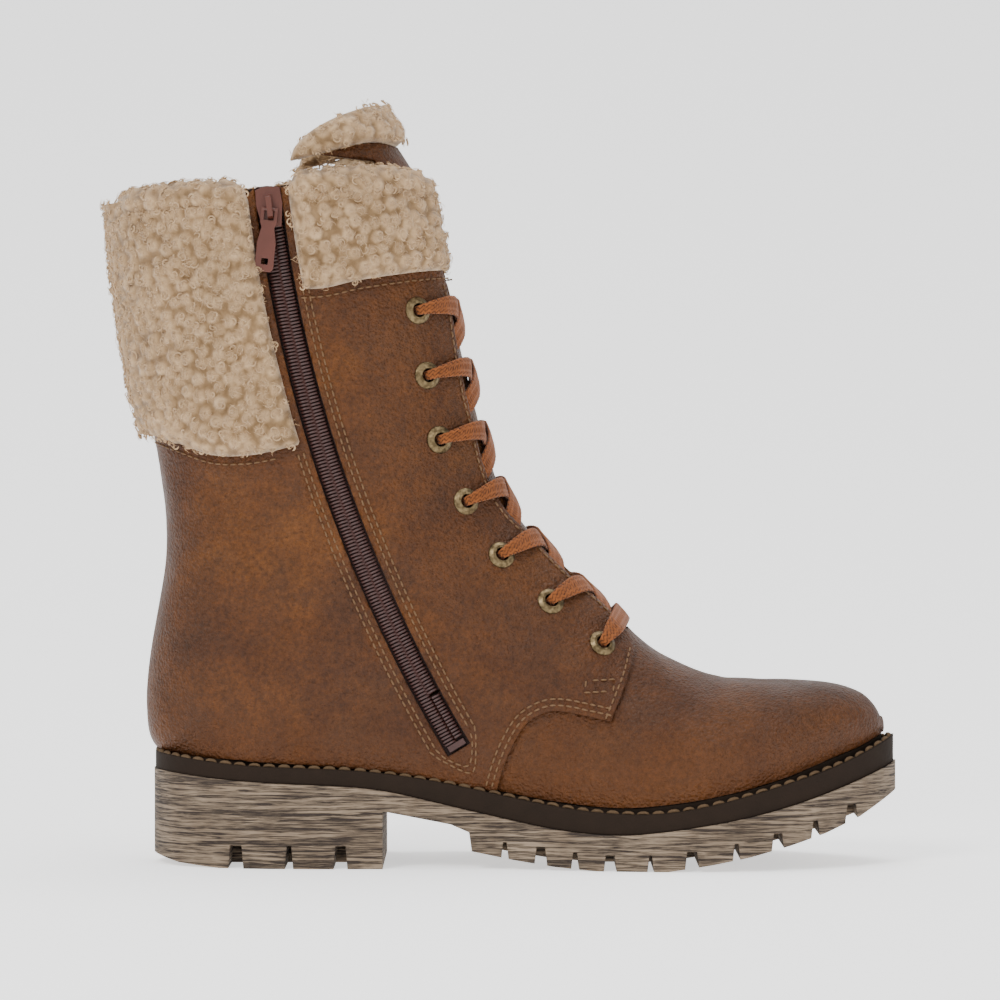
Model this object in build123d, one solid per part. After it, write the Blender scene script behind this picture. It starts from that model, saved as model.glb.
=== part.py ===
"""A left winter boot: lace-up leather upper with a fleece cuff, a zip on the inner side and a lugged unit sole.

Design frame: X runs from the back of the heel (0) to the toe, Y is 0 on the centre line with the inner
(medial) side at -Y, and Z is 0 on the ground. At the end every piece is moved so that the origin is the
bottom centre of the whole boot's box. All sizes are in millimetres.
"""
from build123d import *
import math
import os

import numpy as np

# ---------------------------------------------------------------- driving dimensions
LEATHER = 1.6
GAP = 0.2                       # between layers that are glued or stitched together
VAMP_LIFT = (-LEATHER, 0.0)     # layers are given as (inner, outer) lift from the skin
QUARTER_LIFT = (GAP, GAP + LEATHER)
TONGUE_LIFT = (-3.2, -1.8)
TONGUE_FLEECE_LIFT = (-7.2, -3.4)
LINING_LIFT = (-7.0, -3.0)
PADDING_LIFT = (-2.8, -0.3)
PUFF_LIFT = (-2.3, -1.8)
COUNTER_LIFT = (-2.2, -0.5)
CUFF_LIFT = (2.0, 8.4)
TRIM_LIFT = (-7.2, 3.0)         # fleece at the top of the tongue
FEATHER_GAP = 0.3               # upper above the welt

WELT_GROW = 3.8                 # welt edge outside the feather line
SOLE_GROW = 4.6                 # outsole edge outside the feather line
FOOTBED_X = (10.5, 241.0)       # back and front of the footbed
FOOTBED_NARROW = 0.72           # its width as a share of the feather line's

EYELET_OUTER_R = 5.0
EYELET_HOLE_R = 2.5
EYELET_BARREL_R = 3.0
EYELET_RIM = 1.1

LACE_WIDTH = 7.6
LACE_THICK = 1.2
LACE_HOLE_WIDTH = 3.6

ZIP_Y = -35.0                   # plane of the zip, on the inner side
ZIP_CENTRE = (533.6, 298.6)     # centre of the zip's arc, x and z
ZIP_R = 494.0
ZIP_TOP = 186.4                 # degrees round that centre
ZIP_BOTTOM = 210.8
SLOT_HALF = 5.6                 # half the opening between the leather edges
LINING_SLOT_HALF = 8.0
CUFF_SLOT_HALF = 9.5            # outside the level below, for the pull tab
CUFF_SLOT_Y = -38.3
COIL_HALF = 3.7
COIL_GAP = 0.6                  # half the slit between the two coils
COIL_Y = (ZIP_Y - 1.4, ZIP_Y + 1.0)
TAPE_HALF = 13.0
TAPE_Y = (ZIP_Y + 1.1, ZIP_Y + 1.8)
SLIDER_ARC = 1.7                # degrees of arc that the slider covers
SLIDER_HALF = 4.7
SLIDER_AT = ZIP_TOP + SLIDER_ARC / 2

FOLD_LOW = (114.5, -36.2, 47.0)     # line that the zip flap folds about
FOLD_HIGH = (80.5, -35.8, 245.3)
FOLD_GAP = 0.8                      # each side of that line
FLAP_BOTTOM = (57.4, 58.0)          # height of the cut below the flap, lower and upper edge
FLAP_LINING_BOTTOM = (59.0, 65.5)
CUFF_FOLD_ROOM = 3.6            # cuff left out in front of the fold, which the flap's cuff turns into

FAR = 400.0                     # reach of cutting bodies

# Section lines of the upper, toe to collar: front or top point x, z; back or bottom point x, z; ridge y;
# inner and outer widest y; where the widest place is, from front (0) to back (1); roundness of the front.
STATIONS = np.array([
    (263.6, 53.0, 264.3, 47.0, -5.0, -9.0, -1.0, 0.60, 2.0),
    (261.0, 57.5, 261.5, 45.6, -5.5, -15.5, 6.0, 0.60, 2.0),
    (256.0, 62.0, 255.5, 42.8, -5.5, -22.5, 14.5, 0.62, 2.0),
    (247.0, 65.0, 245.0, 39.2, -5.5, -31.0, 26.0, 0.65, 2.0),
    (234.0, 66.3, 230.0, 33.5, -5.0, -39.5, 36.5, 0.66, 2.0),
    (218.0, 66.5, 212.0, 28.2, -4.0, -44.6, 43.8, 0.68, 2.0),
    (202.0, 68.0, 192.0, 24.2, -3.0, -45.6, 46.6, 0.70, 2.0),
    (187.0, 74.0, 168.0, 22.0, -2.0, -43.4, 46.0, 0.70, 2.1),
    (175.0, 82.0, 142.0, 24.5, -1.5, -39.4, 43.0, 0.70, 2.2),
    (163.5, 94.6, 115.0, 29.5, -1.0, -36.4, 40.0, 0.69, 2.3),
    (150.5, 107.0, 88.0, 34.2, -0.5, -35.4, 38.0, 0.68, 2.3),
    (139.3, 119.3, 60.0, 36.8, 0.0, -35.2, 37.0, 0.66, 2.4),
    (131.6, 129.4, 35.0, 38.2, 0.0, -35.0, 36.4, 0.62, 2.4),
    (126.8, 138.0, 13.0, 39.5, 0.0, -35.0, 36.0, 0.58, 2.4),
    (123.6, 146.5, 1.6, 43.5, 0.0, -35.0, 35.6, 0.54, 2.4),
    (121.2, 154.5, -1.0, 57.0, 0.0, -35.0, 35.3, 0.51, 2.4),
    (119.2, 163.3, 0.2, 74.0, 0.0, -35.0, 35.2, 0.50, 2.4),
    (116.8, 173.3, 3.2, 92.0, 0.0, -35.0, 35.2, 0.50, 2.4),
    (114.1, 183.8, 6.0, 110.0, 0.0, -35.0, 35.4, 0.50, 2.4),
    (111.4, 195.2, 5.9, 127.0, 0.0, -35.0, 35.8, 0.50, 2.4),
    (108.8, 206.0, 3.6, 144.0, 0.0, -35.2, 36.2, 0.50, 2.4),
    (106.0, 216.0, 0.5, 162.0, 0.0, -35.4, 36.6, 0.50, 2.4),
    (103.8, 226.0, -3.5, 184.0, 0.0, -35.6, 37.0, 0.50, 2.4),
    (101.0, 238.0, -7.5, 210.0, 0.0, -35.8, 37.4, 0.50, 2.4),
    (96.5, 250.0, -10.0, 238.0, 0.0, -36.0, 37.6, 0.50, 2.4),
    (89.0, 262.0, -12.0, 262.0, 0.0, -36.0, 37.6, 0.50, 2.4),
    (80.0, 276.0, -14.0, 285.0, 0.0, -36.0, 37.6, 0.50, 2.4),
])
LAST = len(STATIONS) - 1
BACK_ROUND = 2.3                # roundness of the back and of the sides above the feather line
BACK_EDGE = 0.012               # half-width left at the back seam, as a share of the widest
FIRST_HEEL, FIRST_BACK = 12, 15  # the back point leaves the feather line between these stations

# Feather line, where the upper meets the welt: x, inner y, outer y.
FEATHER = np.array([
    (2.4, -2.5, 2.5), (4.4, -10.5, 10.5), (9.5, -18.5, 18.5), (18.0, -25.0, 25.5), (35.0, -30.5, 31.0),
    (60.0, -32.0, 33.5), (90.0, -31.5, 34.0), (120.0, -32.5, 36.0), (150.0, -38.0, 41.0),
    (175.0, -42.5, 44.5), (195.0, -44.0, 45.0), (212.0, -43.0, 42.5), (228.0, -38.5, 36.0),
    (242.0, -31.0, 27.0), (252.0, -23.5, 18.0), (259.0, -16.5, 9.5), (263.0, -10.5, 1.5), (264.5, -6.0, -3.5),
])
# Top of the welt and top of the outsole unit's edge, in side view: x, z.
WELT_TOP = [(-6, 41.0), (0, 40.5), (30, 37.1), (53, 36.0), (76, 34.9), (104, 31.0), (126, 26.5), (152, 21.8),
            (170, 20.3), (185, 20.8), (203, 24.0), (225, 30.0), (248, 37.4), (264, 44.4), (276, 50.5)]
WELT_BOTTOM = [(-6, 34.6), (0, 34.2), (30, 31.4), (53, 30.2), (83, 28.0), (104, 23.4), (126, 18.4),
               (148, 14.2), (170, 12.9), (192, 15.2), (214, 19.2), (237, 25.3), (259, 33.0), (276, 40.0)]


# ---------------------------------------------------------------- the skin of the upper
def smooth(table, t):
    """Catmull-Rom interpolation of the table's rows at row number t."""
    i = int(min(max(math.floor(t), 0), len(table) - 2))
    f = t - i
    p0, p1 = table[max(i - 1, 0)], table[i]
    p2, p3 = table[i + 1], table[min(i + 2, len(table) - 1)]
    return p1 + 0.5 * f * (p2 - p0 + f * (2 * p0 - 5 * p1 + 4 * p2 - p3 + f * (3 * (p1 - p2) + p3 - p0)))


def heel_share(t):
    """0 where the section ends on the feather line, 1 where it ends on the back of the boot."""
    f = min(max((t - FIRST_HEEL) / (FIRST_BACK - FIRST_HEEL), 0.0), 1.0)
    return f * f * (3 - 2 * f)


def section_frame(t, lift=0.0, floor=0.0):
    """The section at station t: front point, back point, ridge y, [inner, outer] widest offset and end share."""
    fx, fz, bx, bz, ridge, inner, outer, widest, round_front = smooth(STATIONS, t)
    share = heel_share(t)
    front, back = np.array([fx, fz]), np.array([bx, bz + (floor + FEATHER_GAP) * (1 - share)])
    along = (front - back) / np.linalg.norm(front - back)
    sides = []
    for wide, column in ((inner, 1), (outer, 2)):
        feather = np.interp(bx, FEATHER[:, 0], FEATHER[:, column])
        end = (1 - share) * min(abs(feather - ridge), abs(wide - ridge) * 0.995)
        end += share * BACK_EDGE * abs(wide - ridge)
        sides.append((abs(wide - ridge) + lift, max(end + lift * (1 - share), 0.9)))
    return front + along * lift, back - along * lift * share, ridge, sides, widest, round_front


def half_width(s, wide, end, widest, round_front):
    """Half-width at share s of the way from the section's front to its back."""
    if s < widest:
        return wide * (1 - (1 - s / widest) ** round_front) ** (1 / round_front)
    e = (end / wide) ** BACK_ROUND
    return wide * (1 - (1 - e) * ((s - widest) / (1 - widest)) ** BACK_ROUND) ** (1 / BACK_ROUND)


def skin_point(t, s, side, lift=0.0):
    """A point of the skin: side is -1 on the inner (medial) side and 1 on the outer."""
    front, back, ridge, sides, widest, round_front = section_frame(t)
    wide, end = sides[0 if side < 0 else 1]
    x, z = front + (back - front) * s
    p = np.array([x, ridge + side * half_width(s, wide, end, widest, round_front), z])
    return p if lift == 0.0 else p + lift * skin_normal(t, s, side)


def skin_normal(t, s, side):
    """The outward normal of the skin."""
    ds = 0.004 if s < 0.5 else -0.004
    along_t = skin_point(t + 0.05, s, side) - skin_point(t - 0.05, s, side)
    along_s = (skin_point(t, s + ds, side) - skin_point(t, s, side)) * (1 if ds > 0 else -1)
    n = np.cross(along_t, along_s) * -side
    return n / np.linalg.norm(n)


def locate(x, z):
    """The station t and share s of the section that passes through x, z in side view."""
    def over(t):
        front, back = section_frame(t)[:2]
        d = back - front
        return d[0] * (z - front[1]) - d[1] * (x - front[0])
    low, high = 0.5, LAST - 0.01
    for _ in range(50):
        mid = (low + high) / 2
        if over(mid) > 0:
            high = mid
        else:
            low = mid
    front, back = section_frame(low)[:2]
    d = back - front
    return low, float(np.clip(((x - front[0]) * d[0] + (z - front[1]) * d[1]) / (d @ d), 0.001, 0.999))


def front_point(t, y, lift=0.0):
    """A point of the skin's front at station t and sideways place y, with the outward normal."""
    def at(tt, yy):
        front, back, ridge, sides, widest, round_front = section_frame(tt)
        wide = sides[0 if yy < ridge else 1][0]
        s = widest * (1 - (1 - (abs(yy - ridge) / wide) ** round_front) ** (1 / round_front))
        x, z = front + (back - front) * s
        return np.array([x, yy, z])
    p = at(t, y)
    n = np.cross(at(t, y + 0.3) - at(t, y - 0.3), at(t + 0.05, y) - at(t - 0.05, y))
    n = n / np.linalg.norm(n)
    return p + n * lift, n


# ---------------------------------------------------------------- building blocks
def section_curve(t, lift, floor, side):
    """Points of the section at station t: one side from front to back, or with side 0 right round."""
    front, back, ridge, sides, widest, round_front = section_frame(t, lift, floor)
    halves = []
    for sign, (wide, end) in zip((-1, 1), sides):
        wide = max(wide, 1.6)
        end = min(end, wide * 0.98)
        stop = math.acos((end / wide) ** (BACK_ROUND / 2))
        profile = []
        for k in range(1, 8):
            a = math.pi / 2 * k / 7
            s = widest * (1 - max(math.cos(a), 0.0) ** (2 / round_front))
            profile.append((s, wide * math.sin(a) ** (2 / round_front)))
        for k in range(1, 8):
            a = stop * k / 7
            s = widest + (1 - widest) * (math.sin(a) / math.sin(stop)) ** (2 / BACK_ROUND)
            profile.append((s, wide * math.cos(a) ** (2 / BACK_ROUND)))
        flat = [(front + (back - front) * s, ridge + sign * w) for s, w in profile]
        halves.append([Vector(xz[0], y, xz[1]) for xz, y in flat])
    tip = Vector(front[0], ridge, front[1])
    if side == 0:
        return halves[0][::-1] + [tip] + halves[1]
    return [tip] + halves[0 if side < 0 else 1]


def stations(first, last):
    return [first] + [i for i in range(LAST + 1) if first + 0.3 < i < last - 0.3] + [last]


def loft_body(lift, floor=0.0, first=0.0, last=LAST):
    """The closed body inside the skin, from one station to another."""
    wires = []
    for t in stations(first, last):
        points = section_curve(t, lift, floor, 0)
        wires.append(Wire([Edge.make_spline(points), Edge.make_line(points[-1], points[0])]))
    return Solid.make_loft(wires)


def shell(lifts, floor=0.0, first=0.0, last=LAST, side=0):
    """A layer of the upper, open below and at the top: both sides, or the inner (-1) or outer (1) one."""
    wires = []
    for t in stations(first, last):
        a = section_curve(t, lifts[1], floor, side)
        b = section_curve(t, lifts[0], floor, side)[::-1]
        wires.append(Wire([Edge.make_spline(a), Edge.make_line(a[-1], b[0]),
                           Edge.make_spline(b), Edge.make_line(b[-1], a[0])]))
    return Solid.make_loft(wires)


def xz_wire(parts, y):
    """A closed wire in side view; a part of 3 points or more is a smooth curve, and lines join the parts."""
    edges = []
    runs = [[Vector(x, y, z) for x, z in part] for part in parts]
    for run, following in zip(runs, runs[1:] + runs[:1]):
        if len(run) > 2:
            edges.append(Edge.make_spline(run))
        elif len(run) == 2:
            edges.append(Edge.make_line(run[0], run[1]))
        if (run[-1] - following[0]).length > 1e-6:
            edges.append(Edge.make_line(run[-1], following[0]))
    return Wire(edges)


def side_prism(parts, y_low=-FAR, y_high=FAR):
    face = Face(xz_wire(parts, y_low))
    return Solid.extrude(face, Vector(0, y_high - y_low, 0))


def feather_outline(grow):
    """The feather line grown outwards, a little less round the heel."""
    points = [(x, y) for x, y, _ in FEATHER] + [(x, y) for x, _, y in FEATHER[::-1]]
    out = []
    for k, (x, y) in enumerate(points):
        ax, ay = points[k - 1]
        bx, by = points[(k + 1) % len(points)]
        length = math.hypot(bx - ax, by - ay)
        g = grow * (0.52 + 0.48 * min(x / 60, 1.0)) if grow > 0 else grow
        out.append((x + (by - ay) / length * g, y - (bx - ax) / length * g))
    return out


def column(outline, z_low=-20.0, z_high=120.0):
    """An upright column over a smooth closed outline in plan."""
    edge = Edge.make_spline([Vector(x, y, z_low) for x, y in outline], periodic=True)
    return Solid.extrude(Face(Wire([edge])), Vector(0, 0, z_high - z_low))


def plan_prism(grow):
    return column(feather_outline(grow))


def feather_curve(up, x_from=-8.0, x_to=280.0):
    """The feather line in side view, raised by up."""
    line = [(x_from, 40.6), (0.0, 40.2)] + [(row[2], row[3]) for row in STATIONS[FIRST_HEEL::-1]]
    line = [p for p in line if p[0] < 262] + [(x_to, 53.4)]
    return [(x, z + up) for x, z in line]


def above(curve):
    return side_prism([curve, [(curve[-1][0], FAR)], [(curve[0][0], FAR)]])


def below(curve):
    return side_prism([curve, [(curve[-1][0], -FAR)], [(curve[0][0], -FAR)]])


def zip_point(angle, offset=0.0):
    """A place in side view on the zip's arc; a positive offset is to the rear."""
    a, r = math.radians(angle), ZIP_R + offset
    return ZIP_CENTRE[0] + r * math.cos(a), ZIP_CENTRE[1] + r * math.sin(a)


def zip_band(offsets, angles, y):
    """A strip that follows the zip: offsets across it, angles along it and a range in y."""
    ends = [zip_point(angles[0], offsets[0]), zip_point(sum(angles) / 2, offsets[0]), zip_point(angles[1], offsets[0])]
    back = [zip_point(angles[1], offsets[1]), zip_point(sum(angles) / 2, offsets[1]), zip_point(angles[0], offsets[1])]
    a, b = ([Vector(x, y[0], z) for x, z in side] for side in (ends, back))
    wire = Wire([Edge.make_three_point_arc(*a), Edge.make_line(a[2], b[0]),
                 Edge.make_three_point_arc(*b), Edge.make_line(b[2], a[0])])
    return Solid.extrude(Face(wire), Vector(0, y[1] - y[0], 0))


def fold_x(z):
    share = (z - FOLD_LOW[2]) / (FOLD_HIGH[2] - FOLD_LOW[2])
    return FOLD_LOW[0] + share * (FOLD_HIGH[0] - FOLD_LOW[0])


def first_solids(shape, least=20.0):
    """The shape without crumbs."""
    kept = [s for s in shape.solids() if s.volume > least]
    return kept[0] if len(kept) == 1 else Compound(children=kept)


# ---------------------------------------------------------------- outlines of the panels, in side view
QUARTER_SEAM = [(120.0, 10.0), (124.5, 28.0), (127.0, 37.0), (130.9, 46.0), (135.4, 52.4), (141.9, 56.0),
                (148.3, 56.3), (157.4, 54.4), (165.1, 52.7)]
TAB_EDGE = [(165.1, 52.7), (170.9, 67.3), (173.3, 76.9), (173.0, 88.0)]
THROAT_HALF = 14.0                  # half the gap between the facings
VAMP_EDGE = [(110.0, 10.0), (116.0, 30.0), (120.0, 45.0), (129.0, 57.0), (142.0, 64.0), (156.0, 66.5),
             (167.0, 73.0), (171.5, 84.0), (175.0, 98.0)]
REAR_CUFF_BOTTOM = [(-30.0, 176.0), (-8.7, 162.0), (-1.8, 157.6), (12.6, 151.8), (24.2, 147.9), (35.9, 147.8),
                    (46.6, 149.7), (56.2, 152.2), (72.0, 155.5)]
REAR_CUFF_TOP = [(52.0, 241.4), (37.8, 241.6), (24.2, 241.7), (12.6, 241.2), (-6.6, 239.7), (-18.0, 235.6),
                 (-30.0, 229.0)]
FRONT_CUFF_BOTTOM = [(42.0, 206.0), (54.3, 206.8), (63.9, 207.6), (75.4, 210.3), (94.9, 213.2), (106.0, 214.1)]
FRONT_CUFF_TOP = [(100.0, 246.0), (94.9, 249.3), (83.3, 252.0), (61.0, 250.3), (47.5, 247.5), (34.0, 246.0)]
THROAT_INSIDE = [(176.0, 40.0), (160.0, 64.0), (140.0, 77.0), (118.0, 97.0), (104.0, 118.0), (96.0, 140.0),
                 (91.0, 170.0), (86.0, 205.0), (80.0, 235.0), (72.0, 262.0)]
TONGUE_HALF = 26.5
LACE_NOTCH = (17.5, 190.0, 208.5)   # where the lace passes the tongue's edge: sideways place, lowest, highest
TRIM_OUTLINE = [[(50.8, 253.4), (52.6, 258.0), (57.5, 263.0), (64.9, 267.7), (75.6, 272.6), (81.0, 273.8)],
                [(86.0, 270.5), (89.5, 264.5), (93.5, 257.0)],
                [(93.5, 256.5), (83.0, 257.8), (70.0, 256.2), (60.0, 254.2), (51.0, 253.2)]]


def make_sole():
    """The lugged outsole, the welt on it, the foam core and the shank."""
    tread = [(-8.0, 6.0), (0.0, 3.8), (10.0, 1.4), (25.0, 0.0), (83.6, 0.0), (83.6, 20.7), (108.0, 16.0),
             (114.5, 13.2), (115.5, 6.4), (130.5, 3.5), (145.0, 1.3), (160.0, 0.0), (185.0, 0.0), (201.0, 2.5),
             (214.5, 5.2), (229.0, 9.0), (242.0, 13.0), (255.0, 18.4), (268.6, 26.5), (280.0, 34.0)]
    body = side_prism([WELT_BOTTOM[::-1]] + [[p] for p in tread]) & plan_prism(SOLE_GROW)
    grooves = [(126.0, 128.6, 4.0), (137.9, 142.3, 2.4), (150.9, 153.7, 0.8), (162.5, 167.0, 0.0),
               (177.9, 180.2, 0.0), (191.3, 196.2, 1.5), (208.2, 210.9, 4.2), (222.2, 226.6, 7.8),
               (236.6, 239.7, 11.8), (249.3, 253.9, 17.0), (28.3, 33.8, 0.0), (48.7, 51.7, 0.0), (66.1, 71.1, 0.0)]
    for low, high, tread_z in grooves:
        deep = 8.3 if high < 84 else 5.8
        cut = [[(low - 0.6, tread_z - 9)], [(low, tread_z)], [(low + 0.7, tread_z + deep)],
               [(high - 0.7, tread_z + deep)], [(high, tread_z)], [(high + 0.6, tread_z - 9)]]
        for y_low, y_high in ((-FAR, -8.0), (8.0, FAR)):
            body -= side_prism(cut, y_low, y_high)
    # Two channels along the forefoot and one along the heel.
    for x_low, x_high, y_mid, z_top in ((124.0, 232.0, -8.0, 4.6), (124.0, 232.0, 8.0, 4.6), (18.0, 76.0, 0.0, 4.0)):
        channel = [[(x_low, -9)], [(x_low, z_top)], [(x_high, z_top)], [(x_high, -9)]]
        body -= side_prism(channel, y_mid - 1.8, y_mid + 1.8)
    core_floor = [(-8.0, 13.0), (40.0, 12.0), (66.0, 14.0), (76.0, 24.6), (92.0, 24.4), (112.0, 20.5), (135.0, 11.5),
                  (160.0, 8.5), (185.0, 8.5), (205.0, 11.5), (230.0, 19.0), (250.0, 27.5), (280.0, 44.0)]
    pocket = plan_prism(-9.0) & above(core_floor)
    top = feather_curve(0.0)
    welt = plan_prism(WELT_GROW) & above([(x, z + 0.1) for x, z in WELT_BOTTOM]) & below(WELT_TOP)
    platform = plan_prism(-0.6) & above([(x, z + 2.0) for x, z in WELT_BOTTOM]) & below(top)
    core = plan_prism(-9.15) & above([(x, z + 0.1) for x, z in core_floor]) & below(top)
    bed = [(46.0, 31.4), (70.0, 31.0), (90.0, 29.4), (110.0, 25.8), (130.0, 21.2), (146.0, 17.6)]
    shank = side_prism([bed, [(x, z + 1.6) for x, z in bed[::-1]]], -8.0, 8.0)
    room = side_prism([[(45.6, 31.1)] + [(x, z - 0.25) for x, z in bed[1:-1]] + [(146.4, 17.2)],
                       [(146.4, 19.6)] + [(x, z + 1.95) for x, z in bed[-2:0:-1]] + [(45.6, 33.4)]], -8.3, 8.3)
    rim = (welt + platform) - plan_prism(-9.0)
    return {"outsole": body - pocket, "welt": rim, "midsole_core": core - room, "shank": shank}


def bed_outline(back, front, narrow):
    """The feather line drawn between two places along the boot and narrowed."""
    x_back, x_front = FEATHER[0][0], FEATHER[-1][0]
    length = (front - back) / (x_front - x_back)
    sides = [(x, inner) for x, inner, _ in FEATHER] + [(x, outer) for x, _, outer in FEATHER[::-1]]
    return [(back + (x - x_back) * length, y * narrow) for x, y in sides]


def bed_layer(outline, low, high):
    """A flat layer under the foot, between two heights over the feather line."""
    return outline & above(feather_curve(low)) & below(feather_curve(high))


def make_insoles():
    before_heel = side_prism([[(27.5, 0.0)], [(27.5, 90.0)], [(FAR, 90.0)], [(FAR, 0.0)]])
    board = plan_prism(-3.6)
    board = board & board.moved(Location((-14, 0, 0))) & before_heel
    foam = column(bed_outline(*FOOTBED_X, FOOTBED_NARROW))
    fleece = column(bed_outline(FOOTBED_X[0] + 1.5, FOOTBED_X[1] - 2.0, FOOTBED_NARROW - 0.05))
    return {"insole_board": bed_layer(board, 0.4, 2.3), "footbed_foam": bed_layer(foam, 2.6, 7.6),
            "footbed_fleece": bed_layer(fleece, 7.75, 10.8)}


def flap_side():
    """The part of space in front of the zip's middle and behind the fold, above the flap's lower edge."""
    low, high = (fold_x(z) - FOLD_GAP for z in (0.0, 300.0))
    arc = [zip_point(a) for a in (183.0, 195.0, 204.0, 212.0)]
    return side_prism([arc, [(low, 0.0)], [(high, 300.0)]], -FAR, 0.0)


def split_flap(panel, bottom, room=FOLD_GAP):
    """A panel of the inner side as (what stays, what folds with the flap), with room in front of the fold."""
    upper = side_prism([[(-FAR, bottom[1])], [(FAR, bottom[1])], [(FAR, FAR)], [(-FAR, FAR)]], -FAR, 0.0)
    lower = side_prism([[(-FAR, bottom[0])], [(FAR, bottom[0])], [(FAR, FAR)], [(-FAR, FAR)]], -FAR, 0.0)
    moving = panel & flap_side() & upper
    wedge = flap_side() & lower
    gap = side_prism([[(fold_x(0.0) - FOLD_GAP - 0.1, 0.0)], [(fold_x(300.0) - FOLD_GAP - 0.1, 300.0)],
                      [(fold_x(300.0) + room, 300.0)], [(fold_x(0.0) + room, 0.0)]], -FAR, 0.0) & lower
    return first_solids(panel - wedge - gap), first_solids(moving)


def slot(half, y=(-80.0, -10.0), low=ZIP_BOTTOM + 0.35):
    return zip_band((-half, half), (182.0, low), y)


def make_upper():
    """Vamp, quarters, stiffeners, padding, cuffs and lining."""
    ahead = side_prism([VAMP_EDGE, [(FAR, 98.0)], [(FAR, 10.0)]])
    vamp = (shell(VAMP_LIFT, 0.0, 0.0, 14) + loft_body(-0.02, 0.0, 0.0, 0.7)) & ahead
    puff = shell(PUFF_LIFT, 0.3, 2.0, 8) & side_prism([[(222, 0)], [(226, 90)], [(300, 90)], [(300, 0)]])
    heel = side_prism([[(-40, 42.4), (0, 41.8), (30, 40.2), (66, 38.4)], [(60.0, 62.0), (36.0, 84.0), (-20.0, 96.0)]])
    counter = shell(COUNTER_LIFT, 0.2, 9, 22) & heel
    behind = side_prism([QUARTER_SEAM, TAB_EDGE, [(173.0, 240.0)], [(106.0, 240.0)], [(96.0, 244.5)],
                         [(66.0, 248.5), (42.0, 243.0), (24.0, 240.5), (-10.0, 238.0)],
                         [(-60.0, 236.0)], [(-60.0, 10.0)]])
    throat = side_prism([[(170.5, 40.0)], [(170.5, 120.0)], [(130.0, 300.0)], [(60.0, 300.0)], [(60.0, 40.0)]],
                        -THROAT_HALF, THROAT_HALF)
    behind -= throat
    parts = {"vamp": first_solids(vamp), "toe_puff": puff, "heel_counter": counter}
    quarter = (shell(QUARTER_LIFT, 0.0, 5, LAST, -1) & behind) - slot(SLOT_HALF)
    parts["quarter_medial"], parts["zip_flap"] = split_flap(quarter, FLAP_BOTTOM)
    parts["quarter_lateral"] = first_solids(shell(QUARTER_LIFT, 0.0, 5, LAST, 1) & behind)

    rear = side_prism([REAR_CUFF_BOTTOM, REAR_CUFF_TOP])
    arc = [zip_point(a) for a in (180.0, 192.0, 204.0, 212.0)]
    behind_zip = side_prism([arc, [(-FAR, 60.0)], [(-FAR, FAR)]])
    before_zip = side_prism([[zip_point(a, -0.3) for a in (180.0, 192.0, 204.0, 212.0)], [(FAR, 60.0)], [(FAR, FAR)]])
    front = side_prism([FRONT_CUFF_BOTTOM, [(125.0, 215.0)], [(125.0, 240.0)], FRONT_CUFF_TOP]) - throat
    channel = slot(SLOT_HALF) + slot(CUFF_SLOT_HALF, (-80.0, CUFF_SLOT_Y))
    for name, side in (("medial", -1), ("lateral", 1)):
        cuff = shell(CUFF_LIFT, 0.0, 15, LAST, side)
        back, fore = cuff & rear & behind_zip, cuff & front & before_zip
        parts["cuff_rear_" + name] = first_solids(back - channel if side < 0 else back)
        if side < 0:
            parts["cuff_front_medial"], parts["cuff_flap"] = split_flap(
                fore - channel, FLAP_BOTTOM, CUFF_FOLD_ROOM)
        else:
            parts["cuff_front_lateral"] = first_solids(fore)

    inside = side_prism([THROAT_INSIDE, [(300.0, 262.0)], [(300.0, 40.0)]], -TONGUE_HALF - 1.0, TONGUE_HALF + 1.0)
    under_top = side_prism([[(-60, 0)], [(300, 0)], [(300, 110)], [(104, 243)], [(80, 249.5)], [(62, 247.5)],
                            [(42, 242)], [(-60, 238)]])
    at_toe = side_prism([[(176.0, 0)], [(300, 0)], [(300, 110)], [(176.0, 110)]])
    lining = (shell(LINING_LIFT, 2.7, 2.0, LAST) & under_top) - slot(LINING_SLOT_HALF)
    parts["lining_vamp"] = first_solids(lining & at_toe)
    shaft = first_solids(lining - at_toe - inside)
    parts["lining_shaft"], parts["lining_flap"] = split_flap(shaft, FLAP_LINING_BOTTOM)
    room = side_prism([[(-60, 99)], [(72, 99)], [(48, 236)], [(-60, 233)]])
    padding = shell(PADDING_LIFT, 0.0, 13, LAST) & room & behind_zip
    parts["padding"] = first_solids(padding - slot(TAPE_HALF + 1.5))

    tongue_room = side_prism([[(x + 0.6, z + 0.4) for x, z in THROAT_INSIDE], [(300.0, 262.4)], [(300.0, 40.4)]],
                             -TONGUE_HALF, TONGUE_HALF)
    for y_low, y_high in ((-FAR, -LACE_NOTCH[0]), (LACE_NOTCH[0], FAR)):
        notch = [[(0.0, LACE_NOTCH[1])], [(FAR, LACE_NOTCH[1])], [(FAR, LACE_NOTCH[2])], [(0.0, LACE_NOTCH[2])]]
        tongue_room -= side_prism(notch, y_low, y_high)
    lens = side_prism([[(175.6, 0.0)], [(175.6, 120.0)], [(100.0, 255.5), (83.0, 257.2), (60.0, 253.5)],
                       [(0.0, 240.0)], [(0.0, 0.0)]])
    parts["tongue_leather"] = first_solids(shell(TONGUE_LIFT, 0.0, 7, LAST) & tongue_room & lens)
    parts["tongue_fleece"] = first_solids(shell(TONGUE_FLEECE_LIFT, 0.0, 7, LAST) & tongue_room & lens)
    parts["tongue_trim"] = first_solids(shell(TRIM_LIFT, 0.0, 18, LAST) & side_prism(TRIM_OUTLINE))
    return parts


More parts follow.
